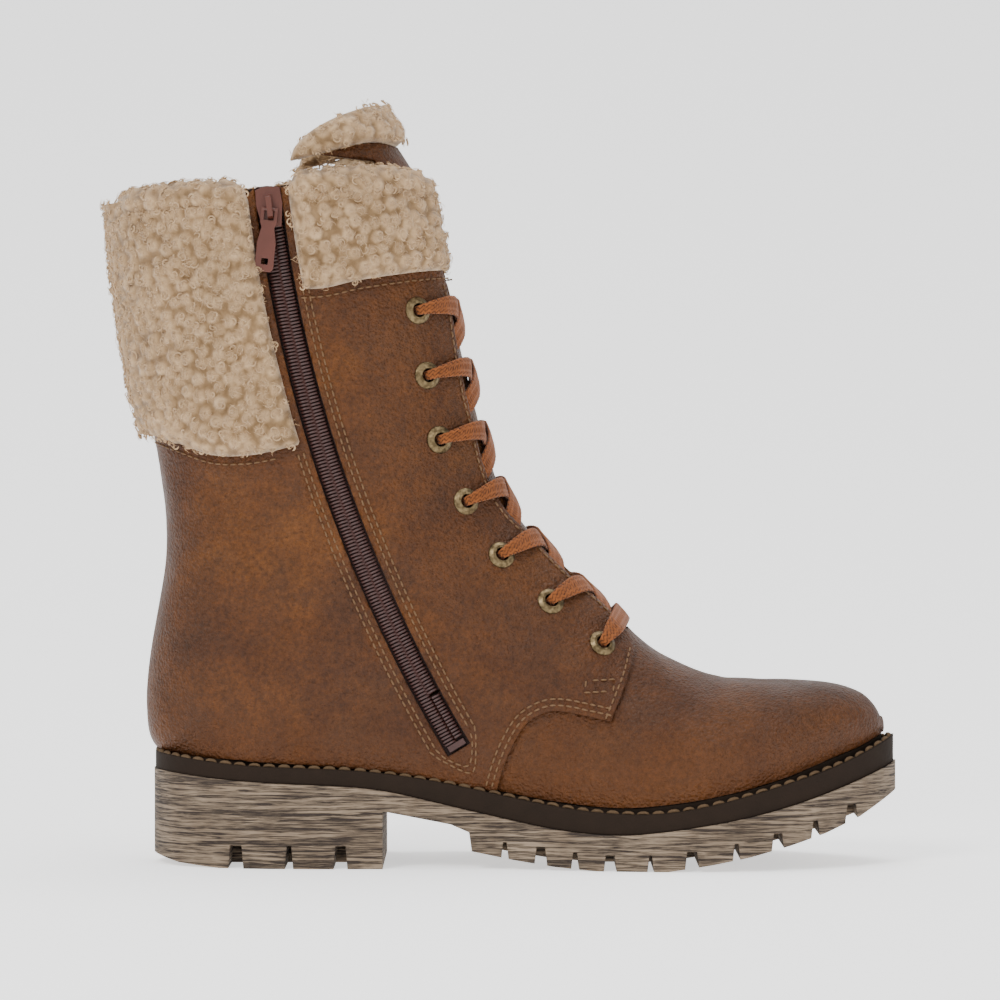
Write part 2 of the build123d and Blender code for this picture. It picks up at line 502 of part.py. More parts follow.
# ---------------------------------------------------------------- zip
def zip_frame(angle, y):
    """A plane on the zip: its X to the front across the zip, its Y up along it and its Z out of the boot."""
    x, z = zip_point(angle)
    a = math.radians(angle)
    return Plane(origin=(x, y, z), x_dir=(-math.cos(a), 0, -math.sin(a)), z_dir=(0, -1, 0))


def make_zip():
    """The tapes, the coils, the stops, the slider and its pull tab."""
    top, bottom = ZIP_TOP, ZIP_BOTTOM
    parts = {}
    flap_end = 208.6                # the front tape and coil stop short of the flap's lower end
    parts["zip_tape_rear"] = zip_band((COIL_GAP, TAPE_HALF), (top, bottom + 0.9), TAPE_Y)
    parts["zip_tape_front"] = zip_band((-TAPE_HALF, -COIL_GAP), (top, flap_end), TAPE_Y)
    parts["zip_coil_rear"] = zip_band((COIL_GAP, COIL_HALF), (top, bottom), COIL_Y)
    parts["zip_coil_front"] = zip_band((-COIL_HALF, -COIL_GAP), (top, flap_end), COIL_Y)
    parts["zip_end_tape"] = zip_band((-COIL_HALF - 0.9, -COIL_GAP), (flap_end + 0.1, bottom + 0.9), TAPE_Y)
    parts["zip_end_coil"] = zip_band((-COIL_HALF, -COIL_GAP), (flap_end + 0.1, bottom), COIL_Y)
    stop = zip_band((-COIL_HALF + 0.4, COIL_HALF - 0.4), (bottom + 0.05, bottom + 0.3), (COIL_Y[0] - 0.3, COIL_Y[1]))
    parts["zip_bottom_stop"] = stop

    frame = zip_frame(SLIDER_AT, 0.0)
    length = math.radians(SLIDER_ARC) * ZIP_R
    outline = Polygon((-0.72 * SLIDER_HALF, -length / 2), (0.72 * SLIDER_HALF, -length / 2),
                      (SLIDER_HALF, 0.05 * length), (SLIDER_HALF * 0.94, 0.44 * length), (1.6, length / 2),
                      (-1.6, length / 2), (-SLIDER_HALF * 0.94, 0.44 * length), (-SLIDER_HALF, 0.05 * length),
                      align=None)
    upper = extrude(frame.offset(-ZIP_Y + 1.75) * outline, 1.5)
    lower = extrude(frame.offset(-ZIP_Y - 2.9) * outline, 0.8)
    web = extrude(frame.offset(-ZIP_Y - 2.5) * Rectangle(0.7, length - 1.6), 4.6)
    arch = Polygon((-4.6, 0), (-3.4, 3.5), (3.6, 3.5), (4.6, 0), (2.7, 0), (2.3, 2.4), (-2.3, 2.4), (-2.7, 0),
                   align=None)
    up = -ZIP_Y + 3.2
    arch = Plane(origin=frame.origin + frame.z_dir * up, x_dir=frame.y_dir, z_dir=frame.x_dir) * arch
    slider = upper + lower + web + extrude(arch, 1.0, both=True)
    parts["zip_slider"] = slider

    bar = pull_axis()
    hang = Plane(origin=bar, x_dir=(0.995, 0, -0.1), z_dir=(0, -1, 0))
    tab = Polygon((-3.0, 0.6), (3.0, 0.6), (3.0, -4.6), (2.3, -6.5), (3.35, -12.0), (3.35, -21.0), (2.4, -22.3),
                  (-2.4, -22.3), (-3.35, -21.0), (-3.35, -12.0), (-2.3, -6.5), (-3.0, -4.6), align=None)
    window = Polygon((-1.75, 0.7), (1.75, 0.7), (1.75, -3.9), (-1.75, -3.9), align=None)
    hole = Pos(0, -18.6) * Rectangle(2.4, 2.2)
    plate = extrude(hang * (tab - window - hole), 0.6, both=True)
    rod = Plane(origin=bar, z_dir=hang.x_dir) * Cylinder(0.65, 5.6)
    parts["zip_pull"] = plate + rod
    return parts


def pull_axis():
    """Where the pull tab's crossbar runs through the slider's arch."""
    frame = zip_frame(SLIDER_AT, 0.0)
    return frame.origin + frame.z_dir * (-ZIP_Y + 3.2 + 1.25) - frame.y_dir * 0.9


# ---------------------------------------------------------------- eyelets and lace
EYELETS = [(95.2, 199.4), (98.7, 176.2), (103.1, 153.2), (112.6, 130.9), (125.5, 111.4), (143.2, 94.6),
           (161.6, 79.5)]


def eyelet_places():
    """Station and sideways distance of each eyelet on the inner side, from the top down."""
    places = []
    for x, z in EYELETS:
        t, s = locate(x, z)
        places.append((t, -skin_point(t, s, -1)[1]))
    return places


def eyelet_frame(t, y):
    p, n = front_point(t, y, QUARTER_LIFT[1])
    return Plane(origin=tuple(p), z_dir=tuple(n))


def make_eyelet(frame):
    flange = Pos(0, 0, 0.1) * Cone(EYELET_OUTER_R, EYELET_OUTER_R - 1.6, EYELET_RIM,
                                   align=(Align.CENTER, Align.CENTER, Align.MIN))
    barrel = Pos(0, 0, -2.2) * Cylinder(EYELET_BARREL_R, 2.5, align=(Align.CENTER, Align.CENTER, Align.MIN))
    clinch = Pos(0, 0, -2.2) * Cylinder(3.8, 0.3, align=(Align.CENTER, Align.CENTER, Align.MIN))
    bore = Cylinder(EYELET_HOLE_R, 12)
    return (frame * (flange + barrel + clinch - bore)).solids()[0]


def ribbon(sections):
    """A flat lace through sections of (centre, width direction, width, thickness direction, thickness)."""
    wires = []
    for centre, across, width, out, thick in sections:
        c, a, o = Vector(*centre), Vector(*across) * (width / 2), Vector(*out) * (thick / 2)
        wires.append(Wire.make_polygon([c - a - o, c + a - o, c + a + o, c - a + o], close=True))
    return Solid.make_loft(wires, True)


# One crossing, from inside the lower eyelet to inside the upper one on the other side: share of the way
# across, lift from the skin when under and when over the other lace, share of full width, and lean of the
# section (0 flat, 1 upright in the eyelet).
CROSSING = [(0.0, 0.0, 0.0, 0.0, 1.0), (0.008, -1.15, -1.15, 0.05, 0.5), (0.06, -1.2, -1.2, 0.5, 0.0),
            (0.16, -0.9, -0.9, 0.95, 0.0), (0.26, -1.1, -0.2, 1.0, 0.0), (0.36, -1.1, 0.4, 1.0, 0.0),
            (0.50, -1.0, 0.8, 1.0, 0.0), (0.64, -0.6, 1.1, 1.0, 0.0), (0.71, 1.4, 2.0, 1.0, 0.0),
            (0.78, 2.7, 2.7, 1.0, 0.0), (0.86, 3.7, 3.7, 0.9, 0.0), (0.945, 3.9, 3.9, 0.5, 0.15),
            (0.99, 3.5, 3.5, 0.05, 0.6), (1.0, 2.3, 2.3, -0.1, 1.0), (1.0, 0.0, 0.0, 0.0, 1.0)]
BAR = [(1 - u, a, b, wide, lean) for u, a, b, wide, lean in CROSSING[:9:-1]] + [(0.5, 2.5, 2.5, 1.0, 0.0)]
BAR += CROSSING[10:]


def lace_run(low, high, side, over=False, steps=CROSSING):
    """Sections of the lace from the lower eyelet on one side to the upper one on the other."""
    first, last = (front_point(low[0], side * low[1])[0], front_point(high[0], -side * high[1])[0])
    sections = []
    for u, under_lift, over_lift, wide, lean in steps:
        t = low[0] + (high[0] - low[0]) * u
        p, n = front_point(t, side * (low[1] * (1 - u) - high[1] * u), over_lift if over else under_lift)
        heading = (last - first) / np.linalg.norm(last - first) * (1 - lean) + np.array([0, -side, 0]) * lean
        heading = heading - n * (heading @ n)
        heading = heading / np.linalg.norm(heading)
        out = n * (1 - lean) + heading * lean * (-1 if steps is BAR and u < 0.5 else 1)
        width = LACE_HOLE_WIDTH + (LACE_WIDTH - LACE_HOLE_WIDTH) * wide
        sections.append((p, np.cross(heading, n), width, out / np.linalg.norm(out), LACE_THICK))
    return sections


# The ends of the lace inside the boot, on the inner side: x, y, z and the width there.
LACE_END = [(93.4, -22.4, 199.0, 3.8), (89.0, -15.6, 197.5, 4.6), (84.5, -12.6, 191.0, 6.0),
            (82.0, -13.6, 178.0, 7.4), (83.5, -15.0, 160.0, 7.6), (88.0, -15.6, 140.0, 7.6),
            (95.0, -15.0, 122.0, 7.6), (103.0, -13.6, 106.0, 5.0)]


def make_lace(places):
    """The whole lace, and the aglets on its two tucked ends."""
    runs = [lace_run(places[-1], places[-1], -1, False, BAR)]
    for lower, upper in zip(places[:0:-1], places[-2::-1]):
        runs += [lace_run(lower, upper, -1, True), lace_run(lower, upper, 1, False)]
    aglets = []
    for side, arrival in ((-1, runs[-1]), (1, runs[-2])):
        tail = [arrival[-1]]
        route = [np.array([x, -y * side, z]) for x, y, z, _ in LACE_END]
        for k, p in enumerate(route):
            ahead = route[min(k + 1, len(route) - 1)] - route[k - 1 if k else 0]
            across = np.cross(ahead, np.array([0.0, 1.0, 0.0])) if k < 2 else np.array([0.0, 1.0, 0.0])
            across = across - ahead * (across @ ahead) / (ahead @ ahead)
            across = across / np.linalg.norm(across)
            out = np.cross(across, ahead / np.linalg.norm(ahead))
            tail.append((p, across, LACE_END[k][3], out, LACE_THICK))
        runs.append(tail)
        a, b = Vector(*route[-2]), Vector(*route[-1])
        way = (b - a).normalized()
        aglets.append(Solid.make_cylinder(1.7, 19.0, Plane(origin=b + way * 0.1, z_dir=way)))
    return [ribbon(run) for run in runs], aglets


def build():
    parts = make_sole()
    parts.update(make_insoles())
    parts.update(make_upper())
    parts.update(make_zip())
    places = eyelet_places()
    for name, side in (("medial", -1), ("lateral", 1)):
        frames = [eyelet_frame(t, side * y) for t, y in places]
        parts["eyelets_" + name] = Compound(children=[make_eyelet(f) for f in frames])
        quarter = parts["quarter_" + name]
        for f in frames:
            quarter -= f * Cylinder(EYELET_BARREL_R + 0.1, 9)
        parts["quarter_" + name] = first_solids(quarter)
    runs, aglets = make_lace(places)
    parts["lace"] = Compound(children=runs)
    parts["aglets"] = Compound(children=aglets)
    return parts


def main():
    parts = build()
    boxes = [part.bounding_box() for part in parts.values()]
    low = [min(tuple(b.min)[i] for b in boxes) for i in range(3)]
    high = [max(tuple(b.max)[i] for b in boxes) for i in range(3)]
    shift = Vector(-(low[0] + high[0]) / 2, -(low[1] + high[1]) / 2, -low[2])
    print("shift", [round(v, 4) for v in shift], "size", [round(high[i] - low[i], 2) for i in range(3)])
    print("pull axis", [round(v, 4) for v in pull_axis() + shift])
    os.makedirs("parts", exist_ok=True)
    for name, part in parts.items():
        export_step(part.moved(Location(shift)), "parts/" + name + ".step")


if __name__ == "__main__":
    main()
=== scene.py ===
"""A left winter boot: leather, fleece, lace, zip and sole, over the CAD parts, in metres."""
import math

import bpy
import numpy as np
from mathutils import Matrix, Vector, geometry, kdtree


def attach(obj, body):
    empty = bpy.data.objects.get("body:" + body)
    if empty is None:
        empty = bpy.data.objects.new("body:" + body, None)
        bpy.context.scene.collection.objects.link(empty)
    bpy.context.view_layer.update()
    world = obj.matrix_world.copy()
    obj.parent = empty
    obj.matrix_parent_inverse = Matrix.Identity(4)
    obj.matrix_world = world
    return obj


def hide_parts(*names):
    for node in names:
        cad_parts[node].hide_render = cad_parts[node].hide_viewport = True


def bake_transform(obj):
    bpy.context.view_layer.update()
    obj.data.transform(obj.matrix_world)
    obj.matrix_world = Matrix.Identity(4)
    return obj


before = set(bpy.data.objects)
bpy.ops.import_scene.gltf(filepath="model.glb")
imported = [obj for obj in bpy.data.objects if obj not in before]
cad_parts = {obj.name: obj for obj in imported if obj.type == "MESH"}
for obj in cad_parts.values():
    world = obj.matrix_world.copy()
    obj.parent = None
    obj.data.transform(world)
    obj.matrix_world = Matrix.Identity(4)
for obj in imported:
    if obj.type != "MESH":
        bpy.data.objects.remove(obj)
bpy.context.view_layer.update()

MM = 0.001
SHIFT = np.array([-125.4593, -0.5663, 0.0])     # from the design frame, in mm, to the part's own frame
TUBE_UP = np.array([0.31, 0.85, 0.42])          # a direction that no tube starts along
ZIP_Y = -35.0
ZIP_CENTRE = (533.6, 298.6)
ZIP_R = 494.0
ZIP_TOP, ZIP_BOTTOM = 186.4, 210.8
SLOT_HALF = 4.7                 # half the opening between the leather edges at the zip
SLOT_END = 211.2                # the angle of the opening's lower end
CUFF_EDGE = 7.2                 # where the fleece ends beside the zip
FOLD_LOW, FOLD_HIGH = (114.5, -36.2, 47.0), (80.5, -35.8, 245.3)
FEATHER_GAP = 0.3
BACK_ROUND, BACK_EDGE = 2.3, 0.012      # roundness of the section's back, and its end's share of the width
LEAST_END = 0.9                         # a section's smallest half width at its end
FIRST_HEEL, FIRST_BACK = 12, 15

# Section lines of the upper, toe to collar: front or top point x, z; back or bottom point x, z; ridge y;
# inner and outer widest y; where the widest place is, from front (0) to back (1); roundness of the front.
STATIONS = np.array([
    (263.6, 53.0, 264.3, 47.0, -5.0, -9.0, -1.0, 0.60, 2.0),
    (261.0, 57.5, 261.5, 45.6, -5.5, -15.5, 6.0, 0.60, 2.0),
    (256.0, 62.0, 255.5, 42.8, -5.5, -22.5, 14.5, 0.62, 2.0),
    (247.0, 65.0, 245.0, 39.2, -5.5, -31.0, 26.0, 0.65, 2.0),
    (234.0, 66.3, 230.0, 33.5, -5.0, -39.5, 36.5, 0.66, 2.0),
    (218.0, 66.5, 212.0, 28.2, -4.0, -44.6, 43.8, 0.68, 2.0),
    (202.0, 68.0, 192.0, 24.2, -3.0, -45.6, 46.6, 0.70, 2.0),
    (187.0, 74.0, 168.0, 22.0, -2.0, -43.4, 46.0, 0.70, 2.1),
    (175.0, 82.0, 142.0, 24.5, -1.5, -39.4, 43.0, 0.70, 2.2),
    (163.5, 94.6, 115.0, 29.5, -1.0, -36.4, 40.0, 0.69, 2.3),
    (150.5, 107.0, 88.0, 34.2, -0.5, -35.4, 38.0, 0.68, 2.3),
    (139.3, 119.3, 60.0, 36.8, 0.0, -35.2, 37.0, 0.66, 2.4),
    (131.6, 129.4, 35.0, 38.2, 0.0, -35.0, 36.4, 0.62, 2.4),
    (126.8, 138.0, 13.0, 39.5, 0.0, -35.0, 36.0, 0.58, 2.4),
    (123.6, 146.5, 1.6, 43.5, 0.0, -35.0, 35.6, 0.54, 2.4),
    (121.2, 154.5, -1.0, 57.0, 0.0, -35.0, 35.3, 0.51, 2.4),
    (119.2, 163.3, 0.2, 74.0, 0.0, -35.0, 35.2, 0.50, 2.4),
    (116.8, 173.3, 3.2, 92.0, 0.0, -35.0, 35.2, 0.50, 2.4),
    (114.1, 183.8, 6.0, 110.0, 0.0, -35.0, 35.4, 0.50, 2.4),
    (111.4, 195.2, 5.9, 127.0, 0.0, -35.0, 35.8, 0.50, 2.4),
    (108.8, 206.0, 3.6, 144.0, 0.0, -35.2, 36.2, 0.50, 2.4),
    (106.0, 216.0, 0.5, 162.0, 0.0, -35.4, 36.6, 0.50, 2.4),
    (103.8, 226.0, -3.5, 184.0, 0.0, -35.6, 37.0, 0.50, 2.4),
    (101.0, 238.0, -7.5, 210.0, 0.0, -35.8, 37.4, 0.50, 2.4),
    (96.5, 250.0, -10.0, 238.0, 0.0, -36.0, 37.6, 0.50, 2.4),
    (89.0, 262.0, -12.0, 262.0, 0.0, -36.0, 37.6, 0.50, 2.4),
    (80.0, 276.0, -14.0, 285.0, 0.0, -36.0, 37.6, 0.50, 2.4),
])
LAST = len(STATIONS) - 1

# Feather line, where the upper meets the welt: x, inner y, outer y.
FEATHER = np.array([
    (2.4, -2.5, 2.5), (4.4, -10.5, 10.5), (9.5, -18.5, 18.5), (18.0, -25.0, 25.5), (35.0, -30.5, 31.0),
    (60.0, -32.0, 33.5), (90.0, -31.5, 34.0), (120.0, -32.5, 36.0), (150.0, -38.0, 41.0),
    (175.0, -42.5, 44.5), (195.0, -44.0, 45.0), (212.0, -43.0, 42.5), (228.0, -38.5, 36.0),
    (242.0, -31.0, 27.0), (252.0, -23.5, 18.0), (259.0, -16.5, 9.5), (263.0, -10.5, 1.5), (264.5, -6.0, -3.5),
])
# Top of the welt, in side view: x, z.
WELT_TOP = [(-6, 41.0), (0, 40.5), (30, 37.1), (53, 36.0), (76, 34.9), (104, 31.0), (126, 26.5), (152, 21.8),
            (170, 20.3), (185, 20.8), (203, 24.0), (225, 30.0), (248, 37.4), (264, 44.4), (276, 50.5)]
QUARTER_SEAM = [(120.0, 10.0), (124.5, 28.0), (127.0, 37.0), (130.9, 46.0), (135.4, 52.4), (141.9, 56.0),
                (148.3, 56.3), (157.4, 54.4), (165.1, 52.7)]
TAB_EDGE = [(165.1, 52.7), (170.9, 67.3), (173.3, 76.9), (173.0, 88.0)]
VAMP_EDGE = [(110.0, 10.0), (116.0, 30.0), (120.0, 45.0), (129.0, 57.0), (142.0, 64.0), (156.0, 66.5),
             (167.0, 73.0), (171.5, 84.0), (175.0, 98.0)]
REAR_CUFF_BOTTOM = [(-30.0, 176.0), (-8.7, 162.0), (-1.8, 157.6), (12.6, 151.8), (24.2, 147.9), (35.9, 147.8),
                    (46.6, 149.7), (56.2, 152.2), (72.0, 155.5)]
REAR_CUFF_TOP = [(52.0, 241.4), (37.8, 241.6), (24.2, 241.7), (12.6, 241.2), (-6.6, 239.7), (-18.0, 235.6),
                 (-30.0, 229.0)]
FRONT_CUFF_BOTTOM = [(42.0, 206.0), (54.3, 206.8), (63.9, 207.6), (75.4, 210.3), (94.9, 213.2),
                     (106.0, 214.1)]
FRONT_CUFF_TOP = [(100.0, 241.5), (94.9, 244.8), (83.3, 247.4), (61.0, 246.4), (47.5, 244.2), (34.0, 242.5)]


def catmull(p0, p1, p2, p3, f):
    """Catmull-Rom interpolation: the place f of the way from p1 to p2."""
    return p1 + 0.5 * f * (p2 - p0 + f * (2 * p0 - 5 * p1 + 4 * p2 - p3 + f * (3 * (p1 - p2) + p3 - p0)))


def smooth(table, t):
    """The table's rows interpolated at row number t."""
    i = int(min(max(math.floor(t), 0), len(table) - 2))
    return catmull(table[max(i - 1, 0)], table[i], table[i + 1], table[min(i + 2, len(table) - 1)], t - i)


def unit(a):
    """Vectors scaled to length 1."""
    return a / (np.linalg.norm(a, axis=-1, keepdims=True) + 1e-12)


def run_of(points):
    """How far along a line of points each of them lies."""
    return np.concatenate([[0], np.cumsum(np.linalg.norm(np.diff(points, axis=0), axis=1))])


def tree_of(points):
    """A search tree over points in space."""
    tree = kdtree.KDTree(len(points))
    for k, p in enumerate(points):
        tree.insert(p, k)
    tree.balance()
    return tree


def heel_share(t):
    """0 where the section ends on the feather line, 1 where it ends on the back of the boot."""
    f = min(max((t - FIRST_HEEL) / (FIRST_BACK - FIRST_HEEL), 0.0), 1.0)
    return f * f * (3 - 2 * f)


def section_frame(t):
    """The section at station t.

    Its front, back and ridge y; the widest and the end offset of each side; the widest place; the roundness.
    """
    fx, fz, bx, bz, ridge, inner, outer, widest, round_front = smooth(STATIONS, t)
    share = heel_share(t)
    sides = []
    for wide, column in ((inner, 1), (outer, 2)):
        feather = np.interp(bx, FEATHER[:, 0], FEATHER[:, column])
        end = (1 - share) * min(abs(feather - ridge), abs(wide - ridge) * 0.995)
        end += share * BACK_EDGE * abs(wide - ridge)
        sides.append((abs(wide - ridge), max(end, LEAST_END)))
    back = np.array([bx, bz + FEATHER_GAP * (1 - share)])
    return np.array([fx, fz]), back, ridge, sides, widest, round_front


# ---- the skin as a grid
T_STEPS, V_STEPS = 521, 64      # along the boot and from the ridge down each side


def profile_row(t):
    """Points right round the section at station t, evenly spaced from the ridge down each side."""
    front, back, ridge, sides, widest, round_front = section_frame(t)
    a = np.linspace(0, 1, 90)
    halves = []
    for sign, (wide, end) in zip((-1, 1), sides):
        end = min(end, wide * 0.98)
        stop = math.acos((end / wide) ** (BACK_ROUND / 2))
        s1 = widest * (1 - np.cos(a * math.pi / 2).clip(0) ** (2 / round_front))
        w1 = wide * np.sin(a * math.pi / 2) ** (2 / round_front)
        s2 = widest + (1 - widest) * (np.sin(a * stop) / math.sin(stop)) ** (2 / BACK_ROUND)
        w2 = wide * np.cos(a * stop) ** (2 / BACK_ROUND)
        s, w = np.concatenate([s1, s2[1:]]), np.concatenate([w1, w2[1:]])
        xz = front + (back - front) * s[:, None]
        p = np.stack([xz[:, 0], ridge + sign * w, xz[:, 1]], 1)
        length = run_of(p)
        even_steps = np.linspace(0, length[-1], V_STEPS + 1)
        halves.append(np.stack([np.interp(even_steps, length, p[:, k]) for k in range(3)], 1))
    return np.concatenate([halves[0][::-1], halves[1][1:]]), length[-1]


def make_grid():
    """The skin's points and normals by station and side place, its girth, and the length along it."""
    made = [profile_row(t) for t in np.linspace(0, LAST, T_STEPS)]
    p = np.array([row for row, _ in made])
    n = unit(np.cross(np.gradient(p, axis=0), np.gradient(p, axis=1)))
    if n[200, V_STEPS // 2][1] > 0:
        n = -n
    mid = (p[:, V_STEPS // 2] + p[:, V_STEPS]) / 2
    return p, n, np.array([girth for _, girth in made]), run_of(mid)


GRID_P, GRID_N, GIRTH, ALONG = make_grid()
T_AXIS = np.linspace(0, LAST, T_STEPS)


def cubic(f):
    """Catmull-Rom weights of four neighbours at the shares f."""
    return np.stack([((-f + 2) * f - 1) * f / 2, ((3 * f - 5) * f * f + 2) / 2,
                     ((-3 * f + 4) * f + 1) * f / 2, (f - 1) * f * f / 2], 1)


def skin(t, v):
    """Points and normals of the skin: t is the station, v runs from -1 (inner edge) to 1 (outer edge)."""
    t, v = np.atleast_1d(np.asarray(t, float)), np.atleast_1d(np.asarray(v, float))
    a, b = t / LAST * (T_STEPS - 1), (v + 1) * V_STEPS
    i = np.clip(np.floor(a).astype(int), 0, T_STEPS - 2)
    j = np.clip(np.floor(b).astype(int), 0, 2 * V_STEPS - 1)
    ca, cb = cubic(a - i), cubic(b - j)
    p, n = np.zeros((len(t), 3)), np.zeros((len(t), 3))
    for k in range(4):
        ii = np.clip(i + k - 1, 0, T_STEPS - 1)
        for m in range(4):
            jj = np.clip(j + m - 1, 0, 2 * V_STEPS)
            w = (ca[:, k] * cb[:, m])[:, None]
            p += GRID_P[ii, jj] * w
            n += GRID_N[ii, jj] * w
    return p, unit(n)


def flat_of(t, v):
    """Station and side place as flat coordinates in mm."""
    t, v = np.asarray(t, float), np.asarray(v, float)
    return np.stack([np.interp(t, T_AXIS, ALONG), v * np.interp(t, T_AXIS, GIRTH)], -1)


def tv_of(flat):
    """The (t, v) of flat coordinates."""
    t = np.interp(flat[:, 0], ALONG, T_AXIS)
    return t, np.clip(flat[:, 1] / np.interp(t, T_AXIS, GIRTH), -1, 1)


def locate(x, z, side):
    """The (t, v) of the skin's point at x, z in side view."""
    def over(t):
        front, back = section_frame(t)[:2]
        d = back - front
        return d[0] * (z - front[1]) - d[1] * (x - front[0])
    low, high = 0.02, LAST - 0.01
    for _ in range(40):
        mid = (low + high) / 2
        if over(mid) > 0:
            high = mid
        else:
            low = mid
    front, back = section_frame(low)[:2]
    d = back - front
    s = ((x - front[0]) * d[0] + (z - front[1]) * d[1]) / (d @ d)
    v = np.linspace(0, 1, 120)
    p = skin(np.full(120, low), v * side)[0]
    at = ((p[:, 0] - front[0]) * d[0] + (p[:, 2] - front[1]) * d[1]) / (d @ d)
    return low, side * float(np.interp(s, at, v))


def curve(points, step=1.0):
    """Catmull-Rom points through a list of places, about step apart."""
    p = np.array(points, float)
    if len(p) < 3:
        n = max(int(np.linalg.norm(p[-1] - p[0]) / step), 1)
        return p[0] + (p[-1] - p[0]) * np.linspace(0, 1, n + 1)[:, None]
    q = np.concatenate([[2 * p[0] - p[1]], p, [2 * p[-1] - p[-2]]])
    out = []
    for k in range(len(p) - 1):
        n = max(int(np.linalg.norm(p[k + 1] - p[k]) / step), 1)
        out += [cubic(np.array([f]))[0] @ q[k:k + 4] for f in np.arange(n) / n]
    return np.array(out + [p[-1]])


def located(points, side):
    """Side-view points as (t, v) pairs on one side."""
    return np.array([locate(x, z, side) for x, z in points])


def side_line(points, side, step=1.0):
    """A side-view curve as (t, v) pairs."""
    return located(curve(points, step), side)


def zip_point(angle, offset=0.0):
    """The side-view place at an angle of the zip's arc, offset from it to the rear."""
    a, r = math.radians(angle), ZIP_R + offset
    return ZIP_CENTRE[0] + r * math.cos(a), ZIP_CENTRE[1] + r * math.sin(a)


def zip_distance(points):
    """How far behind the zip's arc side-view points lie."""
    return np.array([math.hypot(x - ZIP_CENTRE[0], z - ZIP_CENTRE[1]) for x, z in points]) - ZIP_R


def zip_line(offset, low=ZIP_TOP, high=ZIP_BOTTOM, step=1.0):
    """Side-view points along the zip, offset from it to the rear."""
    n = int(math.radians(high - low) * ZIP_R / step)
    return [zip_point(a, offset) for a in np.linspace(low, high, n + 1)]


def mesh_object(name, verts, faces, material):
    """An object from points in design millimetres."""
    mesh = bpy.data.meshes.new(name)
    mesh.from_pydata(((np.asarray(verts) + SHIFT) * MM).tolist(), [], faces)
    mesh.update()
    mesh.polygons.foreach_set("use_smooth", [True] * len(mesh.polygons))
    mesh.set_sharp_from_angle(angle=math.radians(60))
    mesh.materials.append(material)
    obj = in_scene(name, mesh)
    return obj


def inside(points, loop):
    """Which points lie inside a closed loop."""
    x, y = points[:, 0], points[:, 1]
    hit = np.zeros(len(points), bool)
    for (ax, ay), (bx, by) in zip(loop, np.roll(loop, -1, axis=0)):
        if ay != by:
            hit ^= ((ay > y) != (by > y)) & (x < (bx - ax) * (y - ay) / (by - ay) + ax)
    return hit


def within(points, loops):
    """Which points lie inside the first loop and outside the others."""
    keep = inside(points, loops[0])
    for q in loops[1:]:
        keep &= ~inside(points, q)
    return keep


def edge_distance(points, loops):
    """Distance from each point to the nearest loop point."""
    tree = tree_of([(a[0], a[1], 0.0) for q in loops for a in q])
    return np.array([tree.find((p[0], p[1], 0.0))[2] for p in points])


def triangles(loops, grid):
    """Triangles over the grid's points that fill the first flat loop, less the others: points and faces."""
    coords, edges = [], []
    for q in loops:
        n = len(coords)
        coords += [Vector(a) for a in q]
        edges += [(n + k, n + (k + 1) % len(q)) for k in range(len(q))]
    got = geometry.delaunay_2d_cdt(coords + [Vector(a) for a in grid], edges, [], 0, 1e-6)
    flat, faces = np.array([(p[0], p[1]) for p in got[0]]), np.array(got[2])
    faces = faces[within(flat[faces].mean(1), loops)]
    used, index = np.unique(faces, return_inverse=True)
    return flat[used], index.reshape(-1, 3)


def patch(loops, step, open_edge=None):
    """Triangles that fill the first (t, v) loop, less the others: t, v, faces, distance to the edge.

    Edge points near the line open_edge, where another panel goes on, don't count for the distance.
    """
    flats = [flat_of(q[:, 0], q[:, 1]) for q in loops]
    low, high = flats[0].min(0), flats[0].max(0)
    lines = np.arange(low[0], high[0], step * 0.87)
    places = np.arange(low[1], high[1], step)
    grid = np.array([(a, b + (k % 2) * step / 2) for k, a in enumerate(lines) for b in places])
    grid = grid[within(grid, flats)]
    flat, faces = triangles(flats, grid[edge_distance(grid, flats) > step * 0.55])
    t, v = tv_of(flat)
    if open_edge is not None:
        near = edge_distance(flats[0], [flat_of(open_edge[:, 0], open_edge[:, 1])])
        flats[0] = flats[0][near > 0.8]
    return t, v, faces, edge_distance(flat, flats)


def strip_faces(count, across):
    """Faces of a strip from so many lines of so many points."""
    return [[k * across + m, k * across + m + 1, (k + 1) * across + m + 1, (k + 1) * across + m]
            for k in range(count - 1) for m in range(across - 1)]


def thick(points, normals, faces, depth):
    """Closes an open sheet into a solid one: points and faces of both skins and the rim."""
    if np.cross(points[faces[0][1]] - points[faces[0][0]], points[faces[0][2]] - points[faces[0][0]]) \
            @ normals[faces[0][0]] < 0:
        faces = faces[:, ::-1]
    n = len(points)
    edges = np.concatenate([faces[:, [0, 1]], faces[:, [1, 2]], faces[:, [2, 0]]])
    key = edges.min(1) * n + edges.max(1)
    _, index, count = np.unique(key, return_index=True, return_counts=True)
    rim = edges[index[count == 1]]
    under = points - normals * np.reshape(np.broadcast_to(depth, (n,)), (-1, 1))
    sides = [[b, a, a + n, b + n] for a, b in rim.tolist()]
    return np.concatenate([points, under]), faces.tolist() + (faces[:, ::-1] + n).tolist() + sides


def noise(points, scale, seed, octaves=3):
    """Smooth noise, about -1 to 1, from sums of sines in turned directions."""
    rng = np.random.default_rng(seed)
    total = np.zeros(len(points))
    amount, size = 1.0, scale
    for _ in range(octaves):
        for _ in range(5):
            d = rng.normal(size=3)
            d /= np.linalg.norm(d)
            wave = points @ d * (2 * math.pi / size) * rng.uniform(0.7, 1.3)
            total += amount * np.sin(wave + rng.uniform(0, 6.3))
        amount, size = amount * 0.5, size * 0.5
    return total / 5


def turn(count):
    """So many angles, evenly round a circle."""
    return np.arange(count) * 2 * math.pi / count


